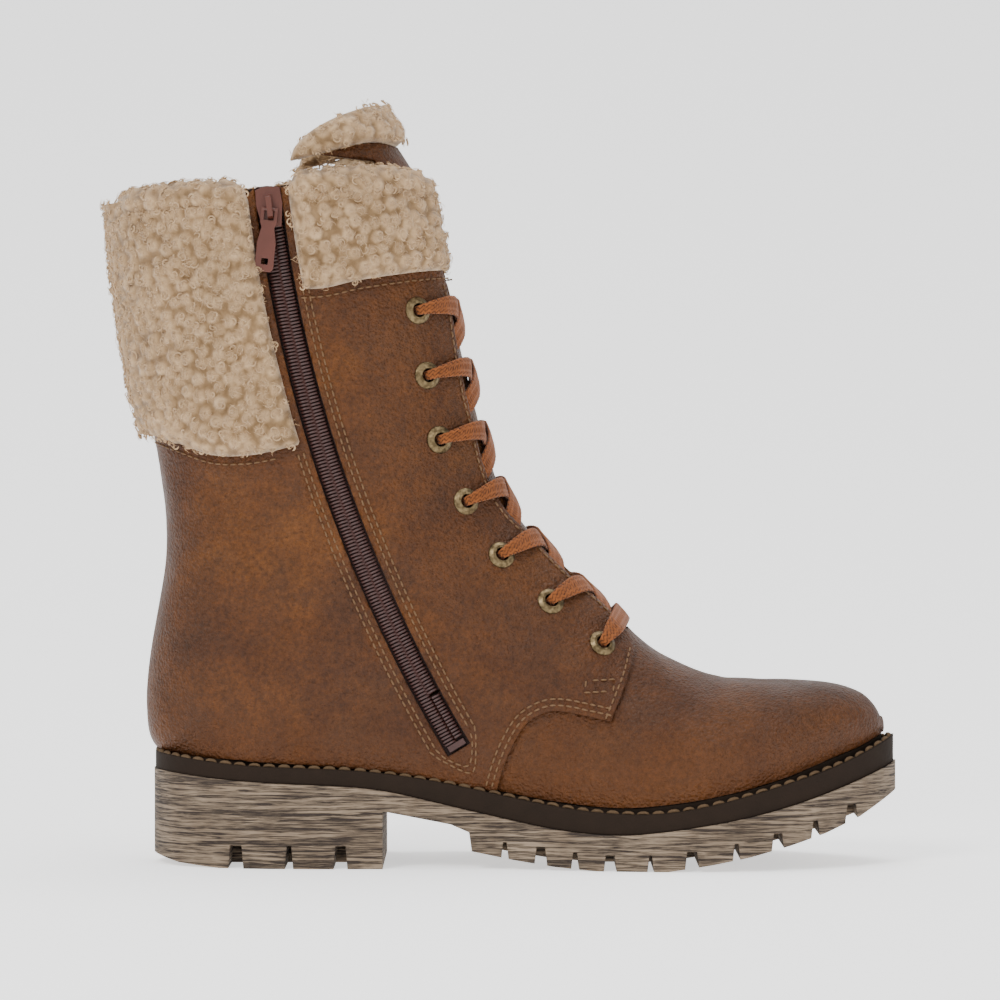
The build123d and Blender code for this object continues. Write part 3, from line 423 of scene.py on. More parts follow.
def ring_faces(rings, around):
    """Faces that join each of the numbered rings of so many points to the next ring."""
    base = np.reshape(rings, (-1, 1)) * around
    m, m2 = np.arange(around), (np.arange(around) + 1) % around
    return np.stack([base + m, base + m2, base + m2 + around, base + m + around], 2).reshape(-1, 4).tolist()


def tube_faces(count, around):
    """Faces of a tube from so many rings of so many points, with its two end caps."""
    caps = [list(range(around))[::-1], list(range((count - 1) * around, count * around))]
    return ring_faces(np.arange(count - 1), around) + caps


def tube(path, radii, sides=6):
    """A tube along points with a radius at each: points and faces."""
    p = np.asarray(path, float)
    tangent = unit(np.gradient(p, axis=0))
    up = TUBE_UP if abs(tangent[0] @ TUBE_UP) < 0.9 else np.array([1.0, 0, 0])
    rings = []
    for c, d, q in zip(p, tangent, radii):
        up = unit(up - d * (up @ d))
        b = np.cross(d, up)
        rings.append([c + q * (up * math.cos(h) + b * math.sin(h))
                      for h in turn(sides)])
    return np.array(rings).reshape(-1, 3), tube_faces(len(p), sides)


def joined(name, pieces, material):
    """One object from many (points, faces) pieces; a third entry gives how high each point stands, 0 to 1,
    which the pile and lace colours turn into painted shade.
    """
    verts, faces, tops, n = [], [], [], 0
    for piece in pieces:
        v, f = piece[:2]
        verts.append(v)
        tops.append(piece[2] if len(piece) > 2 else np.full(len(v), 0.8))
        faces += [[a + n for a in face] for face in f]
        n += len(v)
    obj = mesh_object(name, np.concatenate(verts), faces, material)
    layer = obj.data.attributes.new("raised", "FLOAT", "POINT")
    layer.data.foreach_set("value", np.concatenate(tops).astype(np.float32))
    return obj


# ---- materials
class Mat:
    """A material under construction: node helpers over its principled shader."""
    def __init__(self, name, **values):
        self.mat = bpy.data.materials.new(name)
        self.mat.use_nodes = True
        self.nodes, self.links = self.mat.node_tree.nodes, self.mat.node_tree.links
        self.shader = self.nodes["Principled BSDF"]
        for key, value in values.items():
            self.shader.inputs[key.replace("_", " ")].default_value = value
        self.place = self.nodes.new("ShaderNodeTexCoord").outputs["Object"]

    def link(self, value, socket):
        """Links a socket's output, or sets a plain value or colour."""
        if isinstance(value, bpy.types.NodeSocket):
            self.links.new(value, socket)
        elif value is not None:
            colour = socket.type == "RGBA" and len(value) == 3
            socket.default_value = (*value, 1) if colour else value

    def node(self, kind, output, inputs, **settings):
        """A new node's output, with its inputs by name or number."""
        node = self.nodes.new("ShaderNode" + kind)
        for key, value in settings.items():
            setattr(node, key, value)
        for key, value in inputs.items():
            self.link(value, node.inputs[key])
        return node.outputs[output]

    def mapping(self, scale):
        return self.node("Mapping", "Vector", {"Vector": self.place, "Scale": scale})

    def noise(self, scale, detail=3.0, rough=0.55, vector=None, distort=0.0):
        return self.node("TexNoise", "Fac", {"Vector": vector or self.place, "Scale": scale,
                                             "Detail": detail, "Roughness": rough, "Distortion": distort})

    def cells(self, scale):
        return self.node("TexVoronoi", "Distance", {"Vector": self.place, "Scale": scale},
                         feature="SMOOTH_F1")

    def ramp(self, fac, stops):
        colour = self.node("ValToRGB", "Color", {"Fac": fac})
        bar = colour.node.color_ramp
        while len(bar.elements) < len(stops):
            bar.elements.new(0.5)
        for element, (at, value) in zip(bar.elements, stops):
            element.position = at
            element.color = (value, value, value, 1) if isinstance(value, float) else (*value, 1)
        return colour

    def mix(self, fac, a, b, mode="MIX"):
        return self.node("Mix", 2, {0: fac, 6: a, 7: b}, data_type="RGBA", blend_type=mode)

    def math(self, mode, a, b=None):
        return self.node("Math", 0, {0: a, 1: b}, operation=mode)

    def bump(self, height, distance, strength=1.0, under=None):
        normal = self.node("Bump", "Normal", {"Height": height, "Distance": distance * MM,
                                              "Strength": strength, "Normal": under})
        self.link(normal, self.shader.inputs["Normal"])
        return normal

    def colour(self, value):
        self.link(value, self.shader.inputs["Base Color"])

    def raised(self):
        """How high the point stands in its pile or weave, 0 to 1, for the painted shade in its crevices and
        grooves.
        """
        return self.node("Attribute", "Fac", {}, attribute_name="raised")

    def height(self):
        """Z of the place, in millimetres."""
        return self.math("MULTIPLY", self.node("SeparateXYZ", 2, {0: self.place}), 1000.0)


def leather_material(name, tone=1.0):
    m = Mat(name, Roughness=0.50, Specular_IOR_Level=0.24)

    def c(r, g, b):
        return (r * tone, g * tone, b * tone)
    cloud = m.ramp(m.noise(22, 4, 0.6, distort=0.5), [
        (0.30, c(0.044, 0.0135, 0.0030)), (0.46, c(0.066, 0.0205, 0.0038)),
        (0.58, c(0.088, 0.0280, 0.0046)), (0.74, c(0.116, 0.0385, 0.0056))])
    dull = m.ramp(m.noise(38, 5, 0.65, distort=0.8), [(0.42, 0.0), (0.70, 0.6)])
    tint = m.mix(dull, cloud, c(0.050, 0.0190, 0.0065))
    fine = m.ramp(m.noise(520, 4, 0.75), [(0.34, 0.66), (0.66, 1.28)])
    tint = m.mix(1.0, tint, fine, "MULTIPLY")
    low = m.ramp(m.math("DIVIDE", m.height(), 100.0), [(0.28, 1.0), (0.62, 0.0)])
    tint = m.mix(m.math("MULTIPLY", low, 0.40), tint, c(0.088, 0.0265, 0.0038))
    m.colour(tint)
    rough = m.ramp(m.noise(60, 3), [(0.3, 0.44), (0.7, 0.60)])
    m.link(rough, m.shader.inputs["Roughness"])
    grain = m.math("ADD", m.cells(950), m.math("MULTIPLY", m.noise(1600, 2), 0.7))
    first = m.bump(grain, 0.75, 1.0)
    m.bump(m.noise(230, 4, 0.6), 0.8, 0.55, first)
    return m.mat


def fleece_material(name, colour=(0.45, 0.305, 0.170)):
    m = Mat(name, Roughness=0.95, Specular_IOR_Level=0.1, Sheen_Weight=0.35, Sheen_Roughness=0.5)
    r, g, b = colour
    # painted shade: the pile's colour darkens where a point sits low between the nubs and lightens on the nub
    # tops
    depth = m.ramp(m.raised(), [
        (0.22, (r * 0.42, g * 0.37, b * 0.30)), (0.58, (r * 0.80, g * 0.77, b * 0.73)),
        (0.92, (r * 1.14, g * 1.15, b * 1.17))])
    spot = m.ramp(m.noise(300, 3, 0.6), [(0.3, (0.76, 0.72, 0.67)), (0.65, (1.06, 1.06, 1.06))])
    wide = m.ramp(m.noise(45, 2), [(0.3, 0.90), (0.7, 1.06)])
    m.colour(m.mix(1.0, m.mix(1.0, depth, spot, "MULTIPLY"), wide, "MULTIPLY"))
    m.bump(m.noise(2600, 3, 0.7), 0.35, 0.7)
    return m.mat


def wood_sole_material():
    m = Mat("sole_unit", Roughness=0.72, Specular_IOR_Level=0.3)
    streak = m.noise(1.0, 5, 0.62, m.mapping((42, 42, 1050)), 0.9)
    fine = m.noise(1.0, 3, 0.6, m.mapping((150, 150, 2700)), 0.5)
    lines = m.ramp(m.math("ADD", m.math("MULTIPLY", streak, 0.72), m.math("MULTIPLY", fine, 0.28)),
                   [(0.42, 0.0), (0.480, 0.50), (0.54, 1.0)])
    pale = m.ramp(m.noise(70, 3), [(0.3, (0.165, 0.118, 0.078)), (0.7, (0.26, 0.195, 0.135))])
    m.colour(m.mix(lines, (0.026, 0.017, 0.012), pale))
    m.bump(lines, 0.45, 0.8)
    return m.mat


def plain_material(name, colour, rough, bump_scale=900, bump=0.12, **values):
    m = Mat(name, Roughness=rough, **values)
    tint = m.ramp(m.noise(bump_scale * 0.25, 3), [(0.3, tuple(c * 0.82 for c in colour)), (0.7, colour)])
    m.colour(tint)
    m.bump(m.noise(bump_scale, 3), bump, 0.5)
    return m.mat


def woven_material(name, colour):
    m = Mat(name, Roughness=0.82, Specular_IOR_Level=0.25, Sheen_Weight=0.15)
    # painted shade: where the lace's height is low, between its strands, its colour falls to about a sixth
    groove_shade = tuple(c * 0.16 for c in colour)
    weave = m.ramp(m.raised(), [(0.25, groove_shade), (0.75, colour)])
    m.colour(m.mix(1.0, weave, m.ramp(m.noise(500, 3), [(0.3, 0.82), (0.7, 1.15)]), "MULTIPLY"))
    m.bump(m.noise(3200, 2, 0.6), 0.12, 0.6)
    return m.mat


def worn_metal(name, base, worn, rough):
    m = Mat(name, Roughness=rough, Metallic=1.0)
    m.colour(m.mix(m.ramp(m.noise(700, 3), [(0.38, 0.0), (0.62, 1.0)]), base, worn))
    m.bump(m.noise(1300, 3), 0.06, 0.6)
    return m.mat


LEATHER = leather_material("leather")
TONGUE_LEATHER = leather_material("tongue_skin", 0.95)
FLEECE = fleece_material("fleece")
LINING = fleece_material("lining_pile", (0.40, 0.28, 0.165))
SOLE = wood_sole_material()
WELT = plain_material("welt_rubber", (0.017, 0.0100, 0.0060), 0.80, 500, 0.3, Specular_IOR_Level=0.15)
WELT_THREAD = plain_material("welt_thread", (0.105, 0.066, 0.036), 0.85, 2500, 0.2, Specular_IOR_Level=0.15)
THREAD = plain_material("thread", (0.135, 0.066, 0.022), 0.6, 3000, 0.1)
COIL = plain_material("coil_nylon", (0.040, 0.010, 0.007), 0.42, 900, 0.02)
TAPE = plain_material("tape_weave", (0.022, 0.008, 0.006), 0.85, 3200, 0.25)
SLIDER = plain_material("slider_paint", (0.105, 0.030, 0.019), 0.36, 700, 0.03, Coat_Weight=0.25,
                        Metallic=0.2)
BRASS = worn_metal("eyelet_metal", (0.085, 0.060, 0.030), (0.20, 0.145, 0.075), 0.42)
LACE = woven_material("lace_weave", (0.205, 0.058, 0.0105))
AGLET = plain_material("aglet_plastic", (0.24, 0.08, 0.02), 0.25, 600, 0.02)
FABRIC = plain_material("interlining", (0.45, 0.36, 0.27), 0.9)


def stand_for(obj, replaces):
    """The piece stands in for CAD nodes."""
    for node in replaces:
        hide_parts(node)
    return obj


def hold(obj, replaces=()):
    """The piece rides the upper."""
    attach(obj, "upper")
    return stand_for(obj, replaces)


# ---- leather panels
LEATHER_TOP, LEATHER_DEPTH, LEATHER_STEP = 1.8, 1.5, 1.35
BACK_T = LAST - 3.2             # where the quarters end at the back of the collar
EDGE_V = 0.995                  # lines past it lie on the skin's lower edge
FOLD_DIR = np.array([FOLD_HIGH[k] - FOLD_LOW[k] for k in range(3)])
FOLD_DIR /= np.linalg.norm(FOLD_DIR)


def bend(obj, replaces=()):
    """A piece of the flap in front of the zip: its place is baked into its mesh, and it is not attached to
    any body.
    """
    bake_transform(obj)
    return stand_for(obj, replaces)


def creases(points):
    """Soft folds of worn leather, in mm: round the ankle, over the instep and across the vamp."""
    x, _, z = points.T
    warp = noise(points, 60, 5, 2) * 7
    ankle = np.exp(-((z - 118 + (x - 60) * 0.25) / 34) ** 2) * np.exp(-((x - 30) / 60) ** 2)
    h = -0.55 * ankle * np.maximum(np.sin((z + (x - 50) * 0.55 + warp) / 8.5), 0) ** 3
    vamp = np.exp(-((x - 205) / 26) ** 2) * np.clip((z - 38) / 25, 0, 1)
    h += -0.30 * vamp * np.maximum(np.sin((x + z * 0.35 + warp * 0.7) / 3.6), 0) ** 3
    return h + 0.35 * noise(points, 70, 3, 2) + 0.10 * noise(points, 14, 4, 2)


def stitch_dip(points, lines, depth=0.22):
    """How far seam lines press the leather in."""
    tree = tree_of(lines)
    d = np.array([tree.find(q)[2] for q in points])
    return -depth * np.exp(-(d / 0.75) ** 2) + 0.10 * np.exp(-((d - 1.8) / 0.9) ** 2)


def leather_panel(name, loops, dips, open_edge=None):
    """A leather panel with worn creases, a rounded edge and the dips of its seams."""
    t, v, faces, rim = patch(loops, LEATHER_STEP, open_edge)
    p, n = skin(t, v)
    h = LEATHER_TOP + creases(p) * np.clip(rim / 6, 0.25, 1) - 0.38 * np.exp(-(rim / 0.55) ** 2)
    h += 0.22 * (np.exp(-(rim / 2.2) ** 2) - np.exp(-(rim / 0.7) ** 2)) + stitch_dip(p, dips)
    verts, tris = thick(p + n * h[:, None], n, faces, LEATHER_DEPTH)
    return mesh_object(name, verts, tris, LEATHER)


def bottom_edge(t_from, t_to, side, step=0.06):
    """The skin's lower edge on one side, from one station to another."""
    n = max(int(abs(t_to - t_from) / step), 2)
    return np.array([(t, side * 1.0) for t in np.linspace(t_from, t_to, n)])


# Half the gap between the facings: stations, and half the gap at each.
FACING_GAP = ([8, 9, 10, 11, 12, 13, 16, 17, 18, 19, 20, 24],
              [12.5, 12.5, 13, 14, 15.5, 16, 17, 17.5, 17, 16, 14.5, 14])


def facing_y(t):
    """Half the gap between the facings at station t."""
    return np.interp(t, *FACING_GAP)


def across_at(t, y, side):
    """How far round section t the skin is at sideways distance y from the ridge."""
    v = np.linspace(0, 0.9, 90)
    p = skin(np.full(90, t), v * side)[0]
    away = np.abs(p[:, 1] - section_frame(t)[2])
    widest = int(np.argmax(away)) + 1
    return float(np.interp(y, away[:widest], v[:widest]))


def facing_line(side, t_from, t_to, extra=0.0, step=0.05):
    """The facing's front edge, moved back by extra."""
    return np.array([(t, side * (across_at(t, facing_y(t), side) + extra / np.interp(t, T_AXIS, GIRTH)))
                     for t in np.arange(t_from, t_to, step)])


def quarter_loops():
    """Loops of the outer quarter, the inner one behind the zip, and the inner one in front of it."""
    out = {}
    for side in (-1, 1):
        seam = side_line(QUARTER_SEAM[1:], side)
        seam = seam[np.abs(seam[:, 1]) < EDGE_V]
        tab = side_line(TAB_EDGE[:3], side)
        corner = facing_line(side, 8.35, 24.0)
        low_front = seam[0][0]
        top = side_line([(93.0, 243.5), (66.0, 246.5), (44.0, 242.6)], side)
        rear_top = side_line([(36.0, 241.0), (10.0, 239.5), (-9.0, 236.0)], side)
        fore = [top[::-1], corner[::-1], tab[::-1], seam[::-1]]
        holes = eyelet_holes(side)
        if side > 0:
            whole = [bottom_edge(low_front, BACK_T, side), rear_top[::-1]] + fore
            out["lateral"] = [np.concatenate(whole)] + holes
            continue
        slot_front = located(zip_line(-SLOT_HALF, ZIP_TOP, SLOT_END), side)
        slot_rear = located(zip_line(SLOT_HALF, ZIP_TOP, SLOT_END), side)
        under = side_line([zip_point(SLOT_END), (113.5, 34.0), (116.0, 29.2)], side)
        split = under[np.abs(under[:, 1]) < EDGE_V]
        end_t = split[-1][0]
        rear = [bottom_edge(end_t, BACK_T, side), rear_top[::-1], slot_rear, split]
        out["rear"], out["split"] = [np.concatenate(rear)], split
        front = [bottom_edge(low_front, end_t, side), split[::-1], slot_front[::-1]] + fore
        out["front"] = [np.concatenate(front)] + holes
    return out


EYELETS = [(95.2, 199.4), (98.7, 176.2), (103.1, 153.2), (112.6, 130.9), (125.5, 111.4), (143.2, 94.6),
           (161.6, 79.5)]
HOLE_R = 3.1


def eyelet_tv(side):
    """Where the eyelets are: as far from the middle on both sides, at the inner side's stations."""
    out = []
    for x, z in EYELETS:
        t, v = locate(x, z, -1)
        y = abs(skin(t, v)[0][0][1])
        w = np.linspace(0, 0.9, 200)
        ys = np.abs(skin(np.full(200, t), side * w)[0][:, 1])
        first = np.argmax(ys) + 1
        out.append((t, side * float(np.interp(y, ys[:first], w[:first]))))
    return out


def eyelet_holes(side):
    """Round holes for the eyelets on one side, as (t, v) loops."""
    loops = []
    for t, v in eyelet_tv(side):
        ring = flat_of(t, v) + HOLE_R * np.array([(math.cos(a), math.sin(a)) for a in turn(20)])
        loops.append(np.stack(tv_of(ring), 1))
    return loops


# ---- stitches
STITCH_PITCH, STITCH_LENGTH, STITCH_RADIUS = 2.9, 2.25, 0.34


def capsule(p, d, n, length, radius):
    """One stitch along d, with n out of the leather: a bent, rounded bead."""
    side = np.cross(d, n)
    verts = []
    for u, share in zip((-1.0, -0.82, -0.35, 0.35, 0.82, 1.0), (0.25, 0.8, 1.0, 1.0, 0.8, 0.25)):
        r = radius * share
        c = p + d * u * length / 2 + n * radius * (0.45 - 0.75 * abs(u) ** 3)
        verts += [c + r * (side * math.cos(a) + n * math.sin(a)) for a in turn(6)]
    return np.array(verts), tube_faces(6, 6)


def places_along(line, run, marks):
    """The t and v of a (t, v) line at distances along it."""
    return np.interp(marks, run, line[:, 0]), np.interp(marks, run, line[:, 1])


def stitch_row(line, lift):
    """Stitches along a (t, v) line: their pieces, and points of the line for the dip in the leather."""
    run = run_of(skin(line[:, 0], line[:, 1])[0])
    marks = np.arange(STITCH_PITCH * 0.4, run[-1] - STITCH_PITCH * 0.2, STITCH_PITCH)
    start, n = skin(*places_along(line, run, marks))
    base = start + n * (lift + creases(start))[:, None]
    ahead = skin(*places_along(line, run, marks + 0.5))[0] - start
    ahead = unit(ahead - n * (ahead * n).sum(1)[:, None])
    pieces = [capsule(base[k], ahead[k], n[k], STITCH_LENGTH, STITCH_RADIUS) for k in range(len(marks))]
    return pieces, skin(*places_along(line, run, np.arange(0, run[-1], 0.6)))[0]


def rows(lines, lift):
    """Several stitch rows: all their pieces and all their points."""
    made = [stitch_row(line, lift) for line in lines]
    return [piece for pieces, _ in made for piece in pieces], np.concatenate([dip for _, dip in made])


def shifted(points, by):
    """A side-view curve moved sideways, to its left, by so many mm."""
    q = curve(points)
    d = unit(np.gradient(q, axis=0))
    return q + np.stack([-d[:, 1], d[:, 0]], 1) * by


def tv_line(points, side):
    """Side-view points as (t, v) pairs, less those at the skin's edge."""
    line = located(points, side)
    return line[np.abs(line[:, 1]) < 0.99]


# ---- leather and its seams
PANELS = quarter_loops()


# Distances of the stitch rows from the edges they follow.
ZIP_SEAMS, QUARTER_SEAMS, FACING_SEAM, CUFF_SEAM = (2.3, 4.3), (1.9, 4.1), 2.3, 2.9
# The stitched box on the tab, in side view.
TAB_BOX = [(155.5, 62.6), (165.8, 62.9), (166.4, 66.9), (156.2, 66.7), (155.5, 62.6)]


def zip_rows(extra, front_from, rear_from):
    """The stitch line round the zip's opening: its front part, and its rear part with the turn below."""
    half = SLOT_HALF + extra
    front = zip_line(-half, front_from, ZIP_BOTTOM - 0.1)
    rear = zip_line(half, rear_from, ZIP_BOTTOM - 0.1)
    tip = zip_point(ZIP_BOTTOM + 0.75 + extra * 0.16, 0)
    left, right = zip_point(ZIP_BOTTOM + 0.5, half * 0.72), zip_point(ZIP_BOTTOM + 0.5, -half * 0.72)
    end = curve([rear[-1], left, tip, right, front[-1]], 0.7)
    return tv_line(front, -1), tv_line(rear + [tuple(q) for q in end], -1)


def seams():
    """Stitch lines by panel: in front of the zip, behind it, and on the outer side."""
    out = {"front": [], "rear": [], "lateral": []}
    for extra in ZIP_SEAMS:
        front, rear = zip_rows(extra, 190.8, 197.4)
        out["front"].append(front)
        out["rear"].append(rear)
    for side, name in ((-1, "front"), (1, "lateral")):
        for inset in QUARTER_SEAMS:
            out[name].append(tv_line(shifted(QUARTER_SEAM[1:], inset), side))
        out[name].append(tv_line(shifted(TAB_EDGE[:3], QUARTER_SEAMS[0]), side))
        out[name].append(facing_line(side, 8.7, 20.6, FACING_SEAM))
        out[name] += [tv_line(curve([a, b]), side) for a, b in zip(TAB_BOX, TAB_BOX[1:])]
        out[name].append(tv_line(shifted([p for p in FRONT_CUFF_BOTTOM if p[0] > 50], -CUFF_SEAM), side))
    for side, name in ((-1, "rear"), (1, "lateral")):
        low = [p for p in REAR_CUFF_BOTTOM if -12 < p[0] < 50]
        out[name].append(tv_line(shifted(low, -CUFF_SEAM), side))
    return out


SEAMS = seams()


def make_leather():
    dips = {}
    for name, lines in SEAMS.items():
        pieces, dips[name] = rows(lines, LEATHER_TOP)
        thread = joined("thread_" + name, pieces, THREAD)
        bend(thread) if name == "front" else hold(thread)
    split = PANELS["split"]
    hold(leather_panel("quarter_rear", PANELS["rear"], dips["rear"], split), ["quarter_medial"])
    bend(leather_panel("quarter_front", PANELS["front"], dips["front"], split), ["zip_flap"])
    hold(leather_panel("quarter_outer", PANELS["lateral"], dips["lateral"]), ["quarter_lateral"])


def vamp_loop():
    """The vamp's loop, and its line across the toe."""
    lines = [side_line(VAMP_EDGE[1:], side) for side in (-1, 1)]
    inner, outer = [line[np.abs(line[:, 1]) < EDGE_V] for line in lines]
    across = np.array([(0.0, v) for v in np.linspace(1, -1, 60)])
    return np.concatenate([bottom_edge(0.0, inner[0][0], -1), inner, outer[::-1],
                           bottom_edge(outer[0][0], 0.0, 1), across]), across


def toe_cap():
    """The round end of the toe, inside the first section."""
    verts, n = [], 13
    for v in np.linspace(0.0, 1, 15):
        a, b = skin(0.0, -v)[0][0], skin(0.0, v)[0][0]
        for f in np.linspace(0, 1, n):
            bulge = math.sin(math.pi * f) * math.sin(math.pi * (0.08 + 0.8 * v))
            verts.append(a + (b - a) * f + np.array([bulge, 0, 0]))
    return np.array(verts), strip_faces(15, n)


def make_vamp():
    loop, across = vamp_loop()
    t, v, faces, _ = patch([loop], LEATHER_STEP, across)
    p, n = skin(t, v)
    h = creases(p) * np.clip(262 - p[:, 0], 0, 8) / 8
    verts, tris = thick(p + n * h[:, None], n, faces, LEATHER_DEPTH)
    hold(joined("vamp_leather", [(verts, tris), toe_cap()], LEATHER), ["vamp"])


TONGUE_HALF, TONGUE_LIFT, TONGUE_DEPTH = 25.5, -2.2, 1.3
TONGUE_FROM, TONGUE_TO = 7.4, 25.6      # the tongue's first and last station
TONGUE_TOP = [(100.0, 258.5), (83.0, 261.0), (62.0, 255.5)]


def tongue_side(side, y, t_from, t_to, step=0.06):
    """The line at sideways distance y from the middle."""
    return np.array([(t, side * across_at(t, y, side)) for t in np.arange(t_from, t_to, step)])


def tongue_loop(y, t_from, t_to):
    """The tongue's loop at sideways distance y from the middle, with its arched top."""
    left, right = tongue_side(-1, y, t_from, t_to), tongue_side(1, y, t_from, t_to)
    low = [(t_from, v) for v in np.linspace(right[0][1], left[0][1], 20)[1:-1]]
    tops = [side_line(TONGUE_TOP, side) for side in (-1, 1)]
    left, right = left[left[:, 0] < tops[0][-1][0] - 0.1], right[right[:, 0] < tops[1][-1][0] - 0.1]
    return [np.concatenate([left, tops[0][::-1], tops[1], right[::-1], np.array(low)])]


def make_tongue():
    t, v, faces, rim = patch(tongue_loop(TONGUE_HALF, TONGUE_FROM, TONGUE_TO), 1.5)
    p, n = skin(t, v)
    wave = 0.35 * noise(p, 46, 21, 2) + 0.12 * noise(p, 12, 22, 2)
    h = wave + TONGUE_LIFT - 0.4 * np.exp(-(rim / 0.8) ** 2)
    verts, tris = thick(p + n * h[:, None], n, faces, TONGUE_DEPTH)
    hold(mesh_object("tongue_outer", verts, tris, TONGUE_LEATHER), ["tongue_leather"])


# ---- fleece
def nub_centres(points, spacing, rng):
    """Numbers of points that keep their distance from each other."""
    cells, kept = {}, []
    near = [(i, j, k) for i in (-1, 0, 1) for j in (-1, 0, 1) for k in (-1, 0, 1)]
    keys = np.floor(points / spacing).astype(int)
    for index in rng.permutation(len(points)):
        i, j, k = key = tuple(keys[index])
        others = [other for a, b, c in near for other in cells.get((i + a, j + b, k + c), ())]
        gaps = [points[other] - points[index] for other in others]
        if all(d @ d >= spacing * spacing for d in gaps):
            cells.setdefault(key, []).append(index)
            kept.append(index)
    return np.array(kept)


def frames(normals, rng):
    """Two directions square to each normal, turned at random."""
    a = unit(np.cross(normals, rng.normal(size=normals.shape)))
    return a, np.cross(normals, a)


def many_tubes(paths, normals, radius, sides=4):
    """Tubes along many paths of the same number of points: one (points, faces) piece."""
    count, k = paths.shape[:2]
    along = unit(np.gradient(paths, axis=1))
    side = unit(np.cross(along, normals[:, None, :]))
    up = np.cross(side, along)
    ends = np.minimum(np.minimum(np.arange(k), np.arange(k)[::-1]) / 1.5 + 0.35, 1.0)
    r = (np.broadcast_to(radius, (count,))[:, None] * ends)[:, :, None, None]
    ring = side[:, :, None] * np.cos(turn(sides))[:, None] + up[:, :, None] * np.sin(turn(sides))[:, None]
    rings = np.arange(count)[:, None] * k + np.arange(k - 1)
    return (paths[:, :, None] + ring * r).reshape(-1, 3), ring_faces(rings, sides)


def curls(points, normals, rng, size, radius):
    """Small snail-shaped curls of yarn, one on each point."""
    a, b = frames(normals, rng)
    s = np.linspace(0, 1, CURL_STEPS)
    phase = rng.uniform(0, 2 * math.pi, len(points))[:, None]
    hand = rng.choice([-1.0, 1.0], len(points))[:, None]
    grow = rng.uniform(0.75, 1.25, len(points))[:, None] * size
    angle = phase + hand * CURL_TURNS * 2 * math.pi * s
    rho = grow * (1.0 - 0.72 * s)
    rise = grow * (-0.45 + 0.75 * np.sin(s * 1.45))
    paths = (points[:, None] + a[:, None] * (rho * np.cos(angle))[..., None]
             + b[:, None] * (rho * np.sin(angle))[..., None] + normals[:, None] * rise[..., None])
    return many_tubes(paths, normals, radius * rng.uniform(0.8, 1.2, len(points)))


def strands(points, normals, rng, each, length, radius):
    """Fine loose fibres that bow out of the pile."""
    p, n = np.repeat(points, each, axis=0), np.repeat(normals, each, axis=0)
    a, b = frames(n, rng)
    p = p + a * rng.normal(0, 0.8, (len(p), 1)) + b * rng.normal(0, 0.8, (len(p), 1))
    s = np.linspace(0, 1, 8)
    span = rng.uniform(0.5, 1.3, (len(p), 1)) * length
    bow = rng.uniform(-1.2, 1.2, (len(p), 1)) * np.sin(s * math.pi * 1.5) * span * 0.4
    out = np.sin(s * math.pi) * rng.uniform(0.25, 0.75, (len(p), 1)) * span * 0.55 - 0.15
    paths = (p[:, None] + a[:, None] * (span * (s - 0.5))[..., None] + b[:, None] * bow[..., None]
             + n[:, None] * out[..., None])
    return many_tubes(paths, n, radius, 3)


CURLS_EACH, CURL_TURNS, CURL_STEPS, CURL_RADIUS = 2, 0.62, 10, 0.30
FIBRE_LENGTH, FIBRE_RADIUS = 2.8, 0.08
CURL_SHADE_HEIGHT, FIBRE_SHADE_HEIGHT = 0.88, 0.95      # how high curls and fibres count as standing, which sets how much painted pile shade they get
NUB_ROOM = 1.3                          # how much of a pile's height is left to its nubs


def fluff(points, normals, amount, seed, nub=3.7, height=2.1, each=8):
    """Raises pebbled nubs on a surface, with their curls and fibres; amount fades them out at the edges."""
    rng = np.random.default_rng(seed)
    picked = nub_centres(points, nub, rng)
    tree = tree_of(points[picked])
    tall = rng.uniform(0.7, 1.15, len(picked))
    found = [tree.find(p) for p in points]
    d = np.array([f[2] for f in found])
    size = tall[np.array([f[1] for f in found])]
    dome = np.sqrt(np.clip(1 - (d / (nub * 0.76)) ** 2, 0.12, 1))
    rise = amount * (height * (size * dome - 0.35) + 0.22 * noise(points, 4, seed + 1, 2))
    top = points[picked] + normals[picked] * (rise[picked] - 0.12)[:, None]
    strong = amount[picked] > 0.3
    top, up = top[strong], normals[picked][strong]
    tops, ups = np.repeat(top, CURLS_EACH, axis=0), np.repeat(up, CURLS_EACH, axis=0)
    tops = tops + np.cross(ups, rng.normal(0, nub * 0.22, tops.shape))
    curled = curls(tops, ups, rng, nub * 0.40, CURL_RADIUS)
    loose = strands(top, up, rng, each, FIBRE_LENGTH, FIBRE_RADIUS)
    made = (curled, CURL_SHADE_HEIGHT), (loose, FIBRE_SHADE_HEIGHT)
    extra = [piece + (np.full(len(piece[0]), tone),) for piece, tone in made]
    return points + normals * rise[:, None], extra, np.clip(dome * size, 0, 1)


def rounding(rim, width, least=0.0):
    """The height of a rounded edge, 0 to 1, at distances from it."""
    return np.sqrt(np.clip(1 - (1 - np.minimum(rim / width, 1)) ** 2, least, 1))


def pile(name, loops, low, high, seed, round_over=6.0, step=0.95, both=False, material=FLEECE, open_edge=None,
         **more):
    """A padded piece of fleece on the skin between two lifts."""
    t, v, faces, rim = patch(loops, step, open_edge)
    base, n = skin(t, v)
    edge = rounding(rim, round_over)
    out = 1.0 if high > low else -1.0
    middle = (low + high) / 2 if both else low
    top = middle + (high - NUB_ROOM * out - middle) * edge + 0.5 * out * noise(base, 28, seed + 5, 2) * edge
    bottom = middle + (low - middle) * edge
    amount = np.clip(edge, 0.25, 1)
    outer, extra, tall = fluff(base + n * top[:, None], n * out, amount, seed, **more)
    inner, under = base + n * bottom[:, None], tall
    if both:
        inner, more_extra, under = fluff(inner, -n * out, amount, seed + 1, **more)
        extra = extra + more_extra
    verts, tris = thick(outer, n * out, faces, 0.0)
    verts[len(t):] = inner
    return joined(name, [(verts, tris, np.concatenate([tall, under]))] + extra, material)


